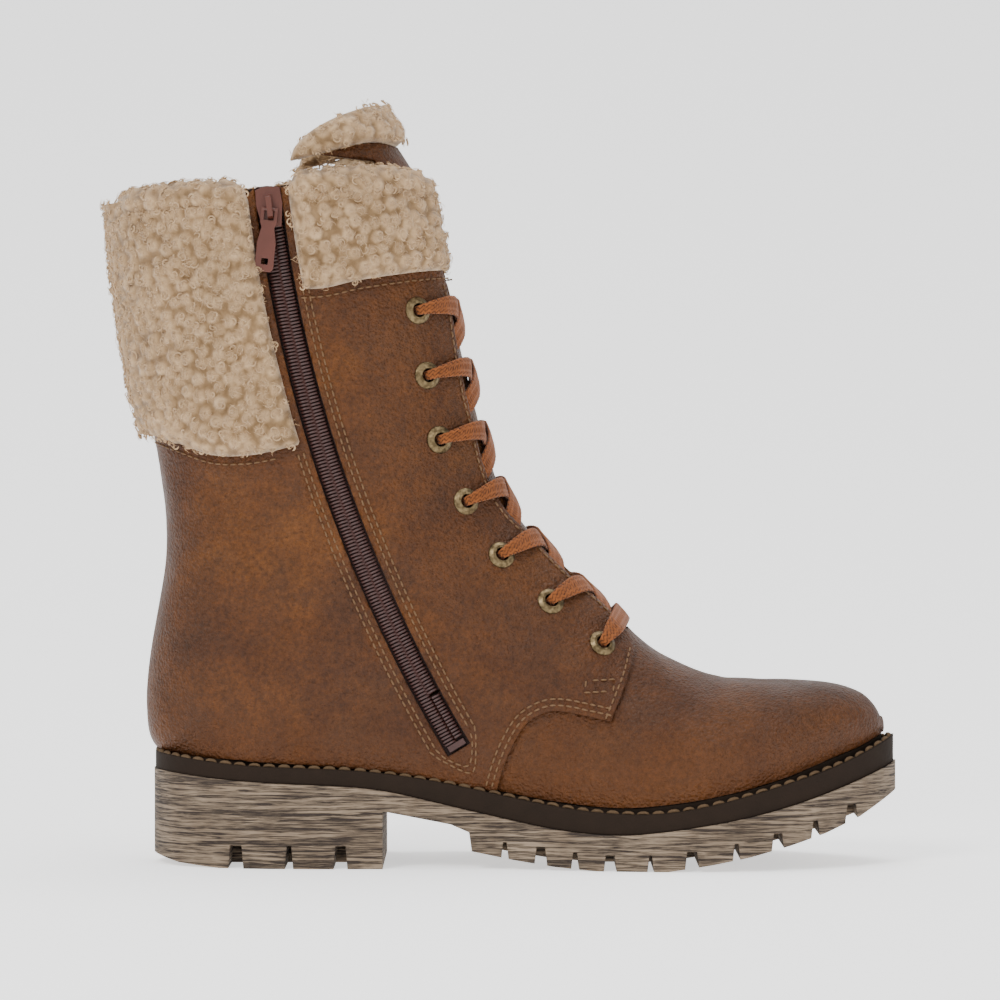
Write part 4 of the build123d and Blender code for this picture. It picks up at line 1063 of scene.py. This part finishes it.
SEAM_REACH, SEAM_ROUNDS = 9, 12
CUFF_LOW, REAR_CUFF_HIGH, FRONT_CUFF_HIGH = 1.9, 8.4, 8.0      # lifts of the cuffs' under side and tops
TRIM_LOW, TRIM_HIGH = -7.0, 3.6
LINING_LOW, LINING_HIGH, LINING_TOE = -3.4, -7.4, -7.0
ROLL_WIDTH, ROLL_HEIGHT, ROLL_OUT, ROLL_SIDES = 7.4, 5.6, 0.7, 34
LINING_T, LINING_GAP = 9.2, 8.0         # the lining's first station, and its distance from the zip
FOOTBED_IN, FOOTBED_LIFT, FOOTBED_PILE = 9.0, 7.8, 2.2
TRIM_TOP = [(50.8, 253.4), (52.6, 258.0), (57.5, 263.0), (64.9, 267.7), (75.6, 272.6), (80.6, 273.6)]
TRIM_BOTTOM = [(51.0, 252.8), (60.0, 255.0), (70.0, 258.2), (83.0, 261.2), (94.3, 260.5)]


def cuff_loops(side):
    """Loops of the rear and the front cuff on one side, and the rear one's line down the back."""
    edge = CUFF_EDGE if side < 0 else 0.3
    bottom, top = curve([p for p in REAR_CUFF_BOTTOM if -12 < p[0]]), curve(REAR_CUFF_TOP[:-2])
    rear_edge = zip_edge(edge, 199, bottom, top, side)
    low, high = (located(q[zip_distance(q) > edge], side) for q in (bottom, top))
    back = np.array([(t, side * 1.0) for t in np.linspace(high[-1][0], low[0][0], 60)])
    rear = np.concatenate([low, rear_edge[::-1], high, back])

    bottom, top = curve(FRONT_CUFF_BOTTOM), curve(FRONT_CUFF_TOP)
    front_edge = zip_edge(-edge, 196, bottom, top, side)
    low, high = (located(q[zip_distance(q) < -edge], side) for q in (bottom, top))
    facing = facing_line(side, 19.0, 25.0, 0.5)
    facing = facing[(facing[:, 0] > low[-1][0] + 0.05) & (facing[:, 0] < high[0][0] - 0.05)]
    low, high = low[np.abs(low[:, 1]) > abs(facing[0][1])], high[np.abs(high[:, 1]) > abs(facing[-1][1])]
    return rear, np.concatenate([low, facing, high, front_edge]), back


def zip_edge(offset, last, bottom, top, side):
    """A cuff's edge beside the zip, between its bottom and top lines."""
    low, high = sorted(line[np.argmin(np.abs(zip_distance(line) - offset))][1] for line in (bottom, top))
    arc = [zip_point(a, offset) for a in np.linspace(182, last, 50)]
    return located([(x, z) for x, z in arc if low + 0.8 < z < high - 0.8], side)


def roll_piece(line, seed, seam=None):
    """A round fleece roll along the collar's top line, from outside over the edge to the lining.

    Near the point numbered seam, where the line passes the back of the boot, its direction is evened out.
    """
    p, n = skin(line[:, 0], line[:, 1])
    if seam is not None:
        first, last = seam - SEAM_REACH, seam + SEAM_REACH
        for _ in range(SEAM_ROUNDS):
            for values in (p, n):
                values[first:last] = (values[first - 1:last - 1] + values[first:last]
                                      + values[first + 1:last + 1]) / 3
        n = unit(n)
    up = unit(np.cross(n, unit(np.gradient(p, axis=0))))
    up[up[:, 2] < 0] *= -1
    run = run_of(p)
    fade = rounding(np.minimum(run, run[-1] - run), 6.0, 0.02)
    cos, sin = np.cos(turn(ROLL_SIDES))[:, None], np.sin(turn(ROLL_SIDES))[:, None]
    ring = (n[:, None] * (cos * (ROLL_WIDTH * fade)[:, None, None])
            + up[:, None] * (sin * (ROLL_HEIGHT * fade)[:, None, None]))
    points = ((p + n * ROLL_OUT)[:, None] + ring).reshape(-1, 3)
    out = unit((n[:, None] * (cos / ROLL_WIDTH) + up[:, None] * (sin / ROLL_HEIGHT)).reshape(-1, 3))
    verts, extra, high = fluff(points, out, np.repeat(np.clip(fade, 0.2, 1), ROLL_SIDES), seed)
    return [(verts, tube_faces(len(p), ROLL_SIDES), high)] + extra


def even(line, step=0.9):
    """A (t, v) line with evenly spaced points."""
    run = run_of(skin(line[:, 0], line[:, 1])[0])
    marks = np.linspace(0, run[-1], max(int(run[-1] / step), 3))
    return np.stack(places_along(line, run, marks), 1)


def make_cuffs():
    seed = 100
    for side, name in ((-1, "medial"), (1, "lateral")):
        rear, front, back = cuff_loops(side)
        obj = pile("cuff_rear_" + name + "_pile", [rear], CUFF_LOW, REAR_CUFF_HIGH, seed, open_edge=back)
        hold(obj, ["cuff_rear_" + name])
        obj = pile("cuff_front_" + name + "_pile", [front], CUFF_LOW, FRONT_CUFF_HIGH, seed + 10)
        if side < 0:
            bend(obj, ["cuff_flap", "cuff_front_medial"])
        else:
            hold(obj, ["cuff_front_lateral"])
        seed += 20


def collar_lines():
    """Top lines of the collar: the rear part's inner and outer side, and the front part's."""
    rear = curve([(52.0, 238.6), (37.8, 239.0), (24.2, 239.4), (12.6, 238.8), (-6.0, 237.0)], 0.8)
    front = curve([(101.0, 238.5), (94.9, 242.2), (83.3, 244.8), (61.0, 243.8), (47.5, 241.6),
                   (40.0, 240.0)], 0.8)
    fronts = located(front[zip_distance(front) < -CUFF_EDGE], -1), located(front, 1)
    ends = [q[[abs(v) > across_at(t, facing_y(t), side) for t, v in q]] for q, side in zip(fronts, (-1, 1))]
    return located(rear[zip_distance(rear) > CUFF_EDGE], -1), located(rear, 1), ends[0], ends[1]


def make_collar():
    inner_rear, outer_rear, inner_front, outer_front = collar_lines()
    halves = even(inner_rear), even(outer_rear)[::-1]
    pieces = roll_piece(np.concatenate(halves), 300, seam=len(halves[0]))
    hold(joined("collar_rear", pieces, FLEECE))
    inner, outer = roll_piece(even(inner_front), 310), roll_piece(even(outer_front), 312)
    bend(joined("collar_front_medial", inner, FLEECE))
    hold(joined("collar_front_lateral", outer, FLEECE))


def make_trim():
    """The fleece round the top of the tongue."""
    loops = [side_line(TRIM_TOP, side, 0.8) for side in (-1, 1)]
    lows = [side_line(TRIM_BOTTOM, side, 0.8) for side in (-1, 1)]
    loop = np.concatenate([loops[0], loops[1][::-1][1:], lows[1][1:], lows[0][::-1]])
    obj = pile("tongue_top_pile", [loop], TRIM_LOW, TRIM_HIGH, 200, 7.0, both=True)
    hold(obj, ["tongue_trim"])


def lining_loops(side):
    """Loops of the lining's pile: the outer side, or behind and in front of the zip on the inner side."""
    def reach(t):
        return side * np.interp(t, [12.0, 15.0], [0.93, 1.0])
    top = curve([(104.0, 241.0), (80.0, 246.5), (62.0, 244.5), (42.0, 239.0), (-8.0, 236.0)])
    line = located(top, side)
    front = tongue_side(side, 24.0, LINING_T, line[0][0])
    bottom = np.array([(t, reach(t)) for t in np.linspace(LINING_T, LAST - 3.3, 160)])
    if side > 0:
        return [np.concatenate([front, line, bottom[::-1]])]
    angles = np.linspace(187.0, ZIP_BOTTOM + 0.3, 120)
    back, fore = (located([zip_point(a, gap) for a in angles], side) for gap in (LINING_GAP, -LINING_GAP))
    behind, before = line[zip_distance(top) > LINING_GAP], line[zip_distance(top) < -LINING_GAP]
    back = back[back[:, 0] < behind[0][0] - 0.05]
    fore = fore[fore[:, 0] < before[-1][0] - 0.05]
    drop_t = fore[-1][0]
    drop = np.linspace(abs(fore[-1][1]) + 0.02, abs(reach(drop_t)), 20)
    tail = np.array([(drop_t, side * v) for v in drop])
    rear = np.concatenate([behind, bottom[bottom[:, 0] > drop_t + 0.1][::-1], tail[::-1], back[::-1]])
    return [rear, np.concatenate([front, before, fore, tail, bottom[bottom[:, 0] < drop_t - 0.1][::-1]])]


def make_lining():
    small = dict(step=1.5, round_over=3.0, material=LINING, nub=3.8, height=1.0, each=2)
    lifts = LINING_LOW, LINING_HIGH
    hold(pile("lining_outer", lining_loops(1), *lifts, 400, **small), ["lining_shaft"])
    rear, front = lining_loops(-1)
    hold(pile("lining_rear", [rear], *lifts, 401, **small))
    bend(pile("lining_front", [front], *lifts, 402, **small), ["lining_flap"])
    toe = [np.concatenate([bottom_edge(2.2, 7.6, -1) * [1, 0.93], bottom_edge(7.6, 2.2, 1) * [1, 0.93]])]
    hold(pile("lining_toe", toe, LINING_LOW, LINING_TOE, 403, **small), ["lining_vamp"])
    loop = tongue_loop(TONGUE_HALF - 0.5, TONGUE_FROM + 0.2, TONGUE_TO)
    hold(pile("tongue_pile", loop, *lifts, 404, **small), ["tongue_fleece"])


def make_footbed():
    """The pile on top of the footbed, from the feather line moved in."""
    loop = feather_outline(-FOOTBED_IN)
    q = curve(list(loop) + [loop[0]], 2.0)[:-1]
    xs, ys = np.meshgrid(np.arange(0, 270, 2.0), np.arange(-50, 50, 2.0))
    grid = np.stack([xs.ravel(), ys.ravel()], 1)
    grid = grid[inside(grid, q)]
    flat, faces = triangles([q], grid[edge_distance(grid, [q]) > 1.0])
    feather = sorted([(0.0, 40.2)] + [(row[2], row[3]) for row in STATIONS[:FIRST_HEEL + 1]])
    z = np.interp(flat[:, 0], [a for a, _ in feather], [b for _, b in feather]) + FOOTBED_LIFT
    edge = rounding(edge_distance(flat, [q]), 4)
    p = np.stack([flat[:, 0], flat[:, 1], z + FOOTBED_PILE * edge], 1)
    n = np.tile([0.0, 0.0, 1.0], (len(p), 1))
    outer, extra, tall = fluff(p, n, np.clip(edge, 0.2, 1) * 0.8, 410, nub=3.8, height=1.0, each=1)
    verts, tris = thick(outer, n, faces, 0.0)
    verts[len(p):, 2] = z
    pieces = [(verts, tris, np.concatenate([tall, tall]))] + extra
    hold(joined("footbed_pile", pieces, LINING), ["footbed_fleece"])


# ---- zip
def zip_place(angle, offset, y):
    """A place on the zip: its angle along the arc, how far across to the rear, and its y."""
    x, z = zip_point(angle, offset)
    return np.array([x, y, z])


TOOTH_PITCH = 1.25
COIL_END = 208.6
# One turn of the coil: across from the zip's middle, lean in pitches, y from the zip's plane, and radius.
TURN = [(3.5, 0.0, 0.75, 0.34), (3.75, 0.02, -0.2, 0.38), (3.4, 0.05, -1.15, 0.40), (2.2, 0.06, -1.25, 0.42),
        (0.9, 0.08, -1.2, 0.46), (0.05, 0.10, -0.9, 0.50), (-0.45, 0.10, -0.1, 0.42)]


def coil_row(sign, first, last, phase, apart=0.0):
    """The coil's turns on one side: rounded bars whose heads lock between their neighbours, or stay apart."""
    pieces = []
    step = math.degrees(TOOTH_PITCH / ZIP_R)
    for a in np.arange(first + phase * step, last, step):
        path = [zip_place(a + lean * step, sign * (offset + apart * (offset < 0.5)), ZIP_Y + y)
                for offset, lean, y, _ in TURN]
        pieces.append(tube(path, [row[3] for row in TURN], 6))
    return pieces


def ribbon_strip(sign, first, last, far, name, fasten, node):
    """A woven tape: a thin curved strip."""
    count = int((last - first) / 0.25)
    places = np.array([zip_place(a, sign * offset, ZIP_Y + 1.1 + 0.12 * math.sin(offset * 2.6))
                       for a in np.linspace(first, last, count) for offset in np.linspace(0.55, far, 9)])
    faces = strip_faces(count, 9)
    normals = np.tile([0.0, -1.0, 0.0], (len(places), 1))
    halves = [[a, b, c] for a, b, c, _ in faces] + [[a, c, d] for a, _, c, d in faces]
    fasten(joined(name, [thick(places, normals, np.array(halves), 0.6)], TAPE), [node])


def make_zip():
    hold(joined("teeth_rear", coil_row(1, ZIP_TOP, ZIP_BOTTOM, 0.0), COIL), ["zip_coil_rear"])
    bend(joined("teeth_front", coil_row(-1, ZIP_TOP, COIL_END, 0.5), COIL), ["zip_coil_front"])
    hold(joined("teeth_end", coil_row(-1, COIL_END + 0.1, ZIP_BOTTOM, 0.5, 1.3), COIL), ["zip_end_coil"])
    ribbon_strip(1, ZIP_TOP, ZIP_BOTTOM + 0.8, 12.6, "tape_rear", hold, "zip_tape_rear")
    ribbon_strip(-1, ZIP_TOP, COIL_END, 12.6, "tape_front", bend, "zip_tape_front")
    ribbon_strip(-1, COIL_END + 0.1, ZIP_BOTTOM + 0.8, 8.6, "tape_end", hold, "zip_end_tape")


# ---- lace
LACE_WIDTH, LACE_THICK, LACE_HOLE_WIDTH = 7.6, 1.2, 3.6
LACE_SIDES, LACE_WEAVE = 30, 1.15       # points round the lace, and the pitch of its cross threads
# One crossing, from inside the lower eyelet to inside the upper one on the other side: share of the way
# across, lift when under and when over the other lace, share of full width, and lean of the section.
CROSSING = [(0.0, 0.0, 0.0, 0.0, 1.0), (0.008, -1.15, -1.15, 0.05, 0.5), (0.06, -1.2, -1.2, 0.5, 0.0),
            (0.16, -0.9, -0.9, 0.95, 0.0), (0.26, -1.1, -0.2, 1.0, 0.0), (0.36, -1.1, 0.4, 1.0, 0.0),
            (0.50, -1.0, 0.8, 1.0, 0.0), (0.64, -0.6, 1.1, 1.0, 0.0), (0.71, 1.4, 2.0, 1.0, 0.0),
            (0.78, 2.7, 2.7, 1.0, 0.0), (0.86, 3.7, 3.7, 0.9, 0.0), (0.945, 3.9, 3.9, 0.5, 0.15),
            (0.99, 3.5, 3.5, 0.05, 0.6), (1.0, 2.3, 2.3, -0.1, 1.0), (1.0, 0.0, 0.0, 0.0, 1.0)]
BAR = [(1 - u, a, b, wide, lean) for u, a, b, wide, lean in CROSSING[:9:-1]] + [(0.5, 2.5, 2.5, 1.0, 0.0)]
BAR += CROSSING[10:]
# The ends of the lace inside the boot, on the inner side: x, y, z and the width there.
LACE_END = [(93.4, -22.4, 199.0, 3.8), (89.0, -15.6, 197.5, 4.6), (84.5, -12.6, 191.0, 6.0),
            (82.0, -13.6, 178.0, 7.4), (83.5, -15.0, 160.0, 7.6), (88.0, -15.6, 140.0, 7.6),
            (95.0, -15.0, 122.0, 7.6), (103.0, -13.6, 106.0, 5.0)]


def front_point(t, y, lift=0.0):
    """A point of the skin's front at station t and sideways place y, with the outward normal."""
    def at(tt, yy):
        front, back, ridge, sides, widest, round_front = section_frame(tt)
        wide = sides[0 if yy < ridge else 1][0]
        s = widest * (1 - (1 - (abs(yy - ridge) / wide) ** round_front) ** (1 / round_front))
        x, z = front + (back - front) * s
        return np.array([x, yy, z])
    n = unit(np.cross(at(t, y + 0.3) - at(t, y - 0.3), at(t + 0.05, y) - at(t - 0.05, y)))
    return at(t, y) + n * lift, n


def lace_run(low, high, side, over=False, steps=CROSSING):
    """Sections of the lace from the lower eyelet on one side to the upper one on the other."""
    first, last = front_point(low[0], side * low[1])[0], front_point(high[0], -side * high[1])[0]
    sections = []
    for u, under_lift, over_lift, wide, lean in steps:
        t = low[0] + (high[0] - low[0]) * u
        p, n = front_point(t, side * (low[1] * (1 - u) - high[1] * u), over_lift if over else under_lift)
        heading = unit(last - first) * (1 - lean) + np.array([0, -side, 0]) * lean
        heading = unit(heading - n * (heading @ n))
        out = n * (1 - lean) + heading * lean * (-1 if steps is BAR and u < 0.5 else 1)
        width = LACE_HOLE_WIDTH + (LACE_WIDTH - LACE_HOLE_WIDTH) * wide
        sections.append((p, np.cross(heading, n), width, unit(out)))
    return sections


def lace_tail(arrival, side):
    """The tucked end inside the boot."""
    tail = [arrival[-1]]
    route = [np.array([x, -y * side, z]) for x, y, z, _ in LACE_END]
    for k, p in enumerate(route):
        ahead = unit(route[min(k + 1, len(route) - 1)] - route[k - 1 if k else 0])
        across = np.cross(ahead, np.array([0.0, 1.0, 0.0])) if k < 2 else np.array([0.0, 1.0, 0.0])
        across = unit(across - ahead * (across @ ahead))
        tail.append((p, across, LACE_END[k][3], np.cross(across, ahead)))
    return tail


def woven(sections, step, start):
    """A braided flat lace through the sections, with its chevrons raised: points, faces and height; the
    height also sets the lace's painted shade in its grooves.
    """
    given = np.array([np.concatenate([p, a, [w], o]) for p, a, w, o in sections])
    for k in range(1, len(given)):
        for part in (slice(3, 6), slice(7, 10)):
            if given[k, part] @ given[k - 1, part] < 0:
                given[k, part] *= -1
    gaps = np.maximum(np.linalg.norm(np.diff(given[:, :3], axis=0), axis=1), 0.4)
    knots = np.concatenate([[0], np.cumsum(gaps)])
    marks = np.linspace(0, knots[-1], int(knots[-1] / step) + 1)
    k = np.clip(np.searchsorted(knots, marks, side="right") - 1, 0, len(knots) - 2)
    f = ((marks - knots[k]) / gaps[k])[:, None]
    pad = np.concatenate([2 * given[:1] - given[1:2], given, 2 * given[-1:] - given[-2:-1]])
    tight = pad[k + 1] + f * (pad[k + 2] - pad[k + 1])
    q = 0.5 * catmull(pad[k], pad[k + 1], pad[k + 2], pad[k + 3], f) + 0.5 * tight
    across, width, out = unit(q[:, 3:6]), np.clip(q[:, 6], 3.0, 8.0)[:, None], q[:, 7:10]
    out = unit(out - across * (out * across).sum(1)[:, None])
    cos, sin = np.cos(turn(LACE_SIDES)), np.sin(turn(LACE_SIDES))
    w, o = np.sign(cos) * np.abs(cos) ** 0.75, np.sign(sin) * np.abs(sin) ** 0.62
    s = (marks + start)[:, None]
    zigzag = np.abs((s / 2.3) % 1.0 - 0.5) * 4 - 1
    strand = np.abs(np.cos((w * width / 2 + 0.5 * zigzag) * math.pi / 1.55)) ** 0.6
    raised = strand * (0.72 + 0.28 * np.abs(np.cos(s * math.pi / LACE_WEAVE)) ** 0.5)
    high = o * (LACE_THICK / 2 + (0.60 * raised - 0.42) * (np.abs(o) > 0.05))
    wide = w * width / 2 * (1 + 0.035 * np.sin(s * 2 * math.pi / LACE_WEAVE))
    verts = q[:, None, :3] + across[:, None] * wide[..., None] + out[:, None] * high[..., None]
    return verts.reshape(-1, 3), tube_faces(len(marks), LACE_SIDES), raised.reshape(-1)


def make_lace():
    places = [(t, -skin(t, v)[0][0][1]) for t, v in eyelet_tv(-1)]
    runs = [lace_run(places[-1], places[-1], -1, False, BAR)]
    for lower, upper in zip(places[:0:-1], places[-2::-1]):
        runs += [lace_run(lower, upper, -1, True), lace_run(lower, upper, 1, False)]
    tails = [lace_tail(runs[-1], -1), lace_tail(runs[-2], 1)]
    pieces = [woven(run, 0.33, 0.31 * k) for k, run in enumerate(runs)]
    pieces += [woven(run, 0.6, 0.0) for run in tails]
    hold(joined("lace_cord", pieces, LACE), ["lace"])


# ---- welt stitches
WELT_PITCH = 5.4


def feather_outline(grow, heel=1.0):
    """The feather line moved outwards by grow, times heel at the back of the boot."""
    points = np.concatenate([FEATHER[:, [0, 1]], FEATHER[::-1][:, [0, 2]]])
    d = unit(np.roll(points, -1, axis=0) - np.roll(points, 1, axis=0))
    share = heel + (1 - heel) * np.minimum(points[:, 0] / 60, 1.0)
    return points + np.stack([d[:, 1], -d[:, 0]], 1) * (grow * share)[:, None]


def make_welt_stitches():
    line = feather_outline(2.35, 0.52)
    q = curve(list(line) + [line[0]], 0.5)
    level = curve(WELT_TOP)
    p = np.stack([q[:, 0], q[:, 1], np.interp(q[:, 0], level[:, 0], level[:, 1])], 1)
    run = run_of(p)
    count = int(run[-1] / WELT_PITCH)
    pitch = run[-1] / count
    rng = np.random.default_rng(77)
    pieces = []
    for k in range(count):
        mid = pitch * (k + 0.5) + rng.uniform(-0.15, 0.15)
        a, b = (np.array([np.interp(m, run, p[:, i]) for i in range(3)]) for m in (mid - 0.6, mid + 0.6))
        d = unit(b - a)
        n = unit(np.array([0.0, 0.0, 1.0]) - d * d[2])
        pieces.append(capsule((a + b) / 2 + n * 0.15, d, n, 4.5 + rng.uniform(-0.2, 0.2), 0.78))
    hold(joined("welt_thread_run", pieces, WELT_THREAD))


# ---- hard parts
HARD = {"outsole": SOLE, "welt": WELT, "eyelets_medial": BRASS, "eyelets_lateral": BRASS,
        "zip_slider": SLIDER, "zip_pull": SLIDER, "zip_bottom_stop": COIL, "aglets": AGLET, "shank": BRASS}
SOFT_HIDDEN = ("midsole_core", "insole_board", "footbed_foam", "toe_puff", "heel_counter", "padding")


def rounded(material, radius):
    """Rounds a material's hard edges in its shading."""
    nodes, links = material.node_tree.nodes, material.node_tree.links
    bevel = nodes.new("ShaderNodeBevel")
    bevel.samples = 6
    bevel.inputs["Radius"].default_value = radius * MM
    for node in list(nodes):
        if node.type == "BUMP" and not node.inputs["Normal"].is_linked:
            links.new(bevel.outputs[0], node.inputs["Normal"])


def make_hard():
    for material, radius in ((SOLE, 0.7), (WELT, 0.6), (BRASS, 0.45), (SLIDER, 0.35), (AGLET, 0.3)):
        rounded(material, radius)
    for name, material in list(HARD.items()) + [(name, FABRIC) for name in SOFT_HIDDEN]:
        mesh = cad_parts[name].data
        mesh.materials.clear()
        mesh.materials.append(material)


# ---- studio
PAPER_GLOW, PAPER_BACK, PAPER_BEND = 0.9, 0.25, 3.0
CAMERA_RISE, CAMERA_DISTANCE = 1.0, 1.8
CAMERA_TARGET = Vector((0.0001, -0.02, 0.1316))


def sweep():
    """A pale floor that curves up into the backdrop."""
    arc = np.linspace(0, math.pi / 2, 60)
    profile = [(-3.0, 0.0)]
    profile += [(PAPER_BACK + PAPER_BEND * math.sin(a), PAPER_BEND * (1 - math.cos(a))) for a in arc]
    n = len(profile)
    mesh = bpy.data.meshes.new("floor")
    mesh.from_pydata([(x, y, z) for x in (-4.0, 4.0) for y, z in profile], [],
                     [[k, k + 1, n + k + 1, n + k] for k in range(n - 1)])
    mesh.polygons.foreach_set("use_smooth", [True] * len(mesh.polygons))
    m = Mat("floor_paper", Roughness=0.9, Specular_IOR_Level=0.1, Emission_Color=(1, 1, 1, 1),
            Emission_Strength=PAPER_GLOW)
    m.colour((0.90, 0.90, 0.90))
    mesh.materials.append(m.mat)
    obj = in_scene("floor", mesh)


def in_scene(name, data):
    """A new object in the scene."""
    obj = bpy.data.objects.new(name, data)
    bpy.context.scene.collection.objects.link(obj)
    return obj


def aim(obj, place, target):
    """Puts a light or camera in its place, looking at the target."""
    obj.location = place
    obj.rotation_euler = (Vector(target) - Vector(place)).to_track_quat("-Z", "Y").to_euler()


def area_light(name, place, target, size, power):
    light = bpy.data.lights.new(name, "AREA")
    light.shape, light.size, light.size_y, light.energy = "RECTANGLE", size, size, power
    aim(in_scene(name, light), place, target)


def studio():
    sweep()
    world = bpy.data.worlds.new("studio")
    world.use_nodes = True
    sky = world.node_tree.nodes["Background"]
    sky.inputs["Color"].default_value = (1, 1, 1, 1)
    sky.inputs["Strength"].default_value = 0.62
    bpy.context.scene.world = world
    area_light("key", (-0.9, -1.5, 1.5), (0, 0, 0.12), 0.8, 32)
    area_light("fill", (1.3, -1.4, 0.7), (0, 0, 0.12), 1.2, 9)
    area_light("top", (0.1, 0.2, 1.7), (0, 0, 0.1), 1.2, 20)
    camera = bpy.data.cameras.new("camera")
    camera.lens, camera.sensor_width, camera.clip_start = 180.0, 36.0, 0.05
    obj = in_scene("camera", camera)
    lift = math.radians(CAMERA_RISE)
    out = Vector((0.0, -math.cos(lift), math.sin(lift)))
    aim(obj, CAMERA_TARGET + out * CAMERA_DISTANCE, CAMERA_TARGET)
    bpy.context.scene.camera = obj


make_leather()
make_vamp()
make_tongue()
make_cuffs()
make_collar()
make_trim()
make_lining()
make_footbed()
make_zip()
make_lace()
make_welt_stitches()
make_hard()
studio()
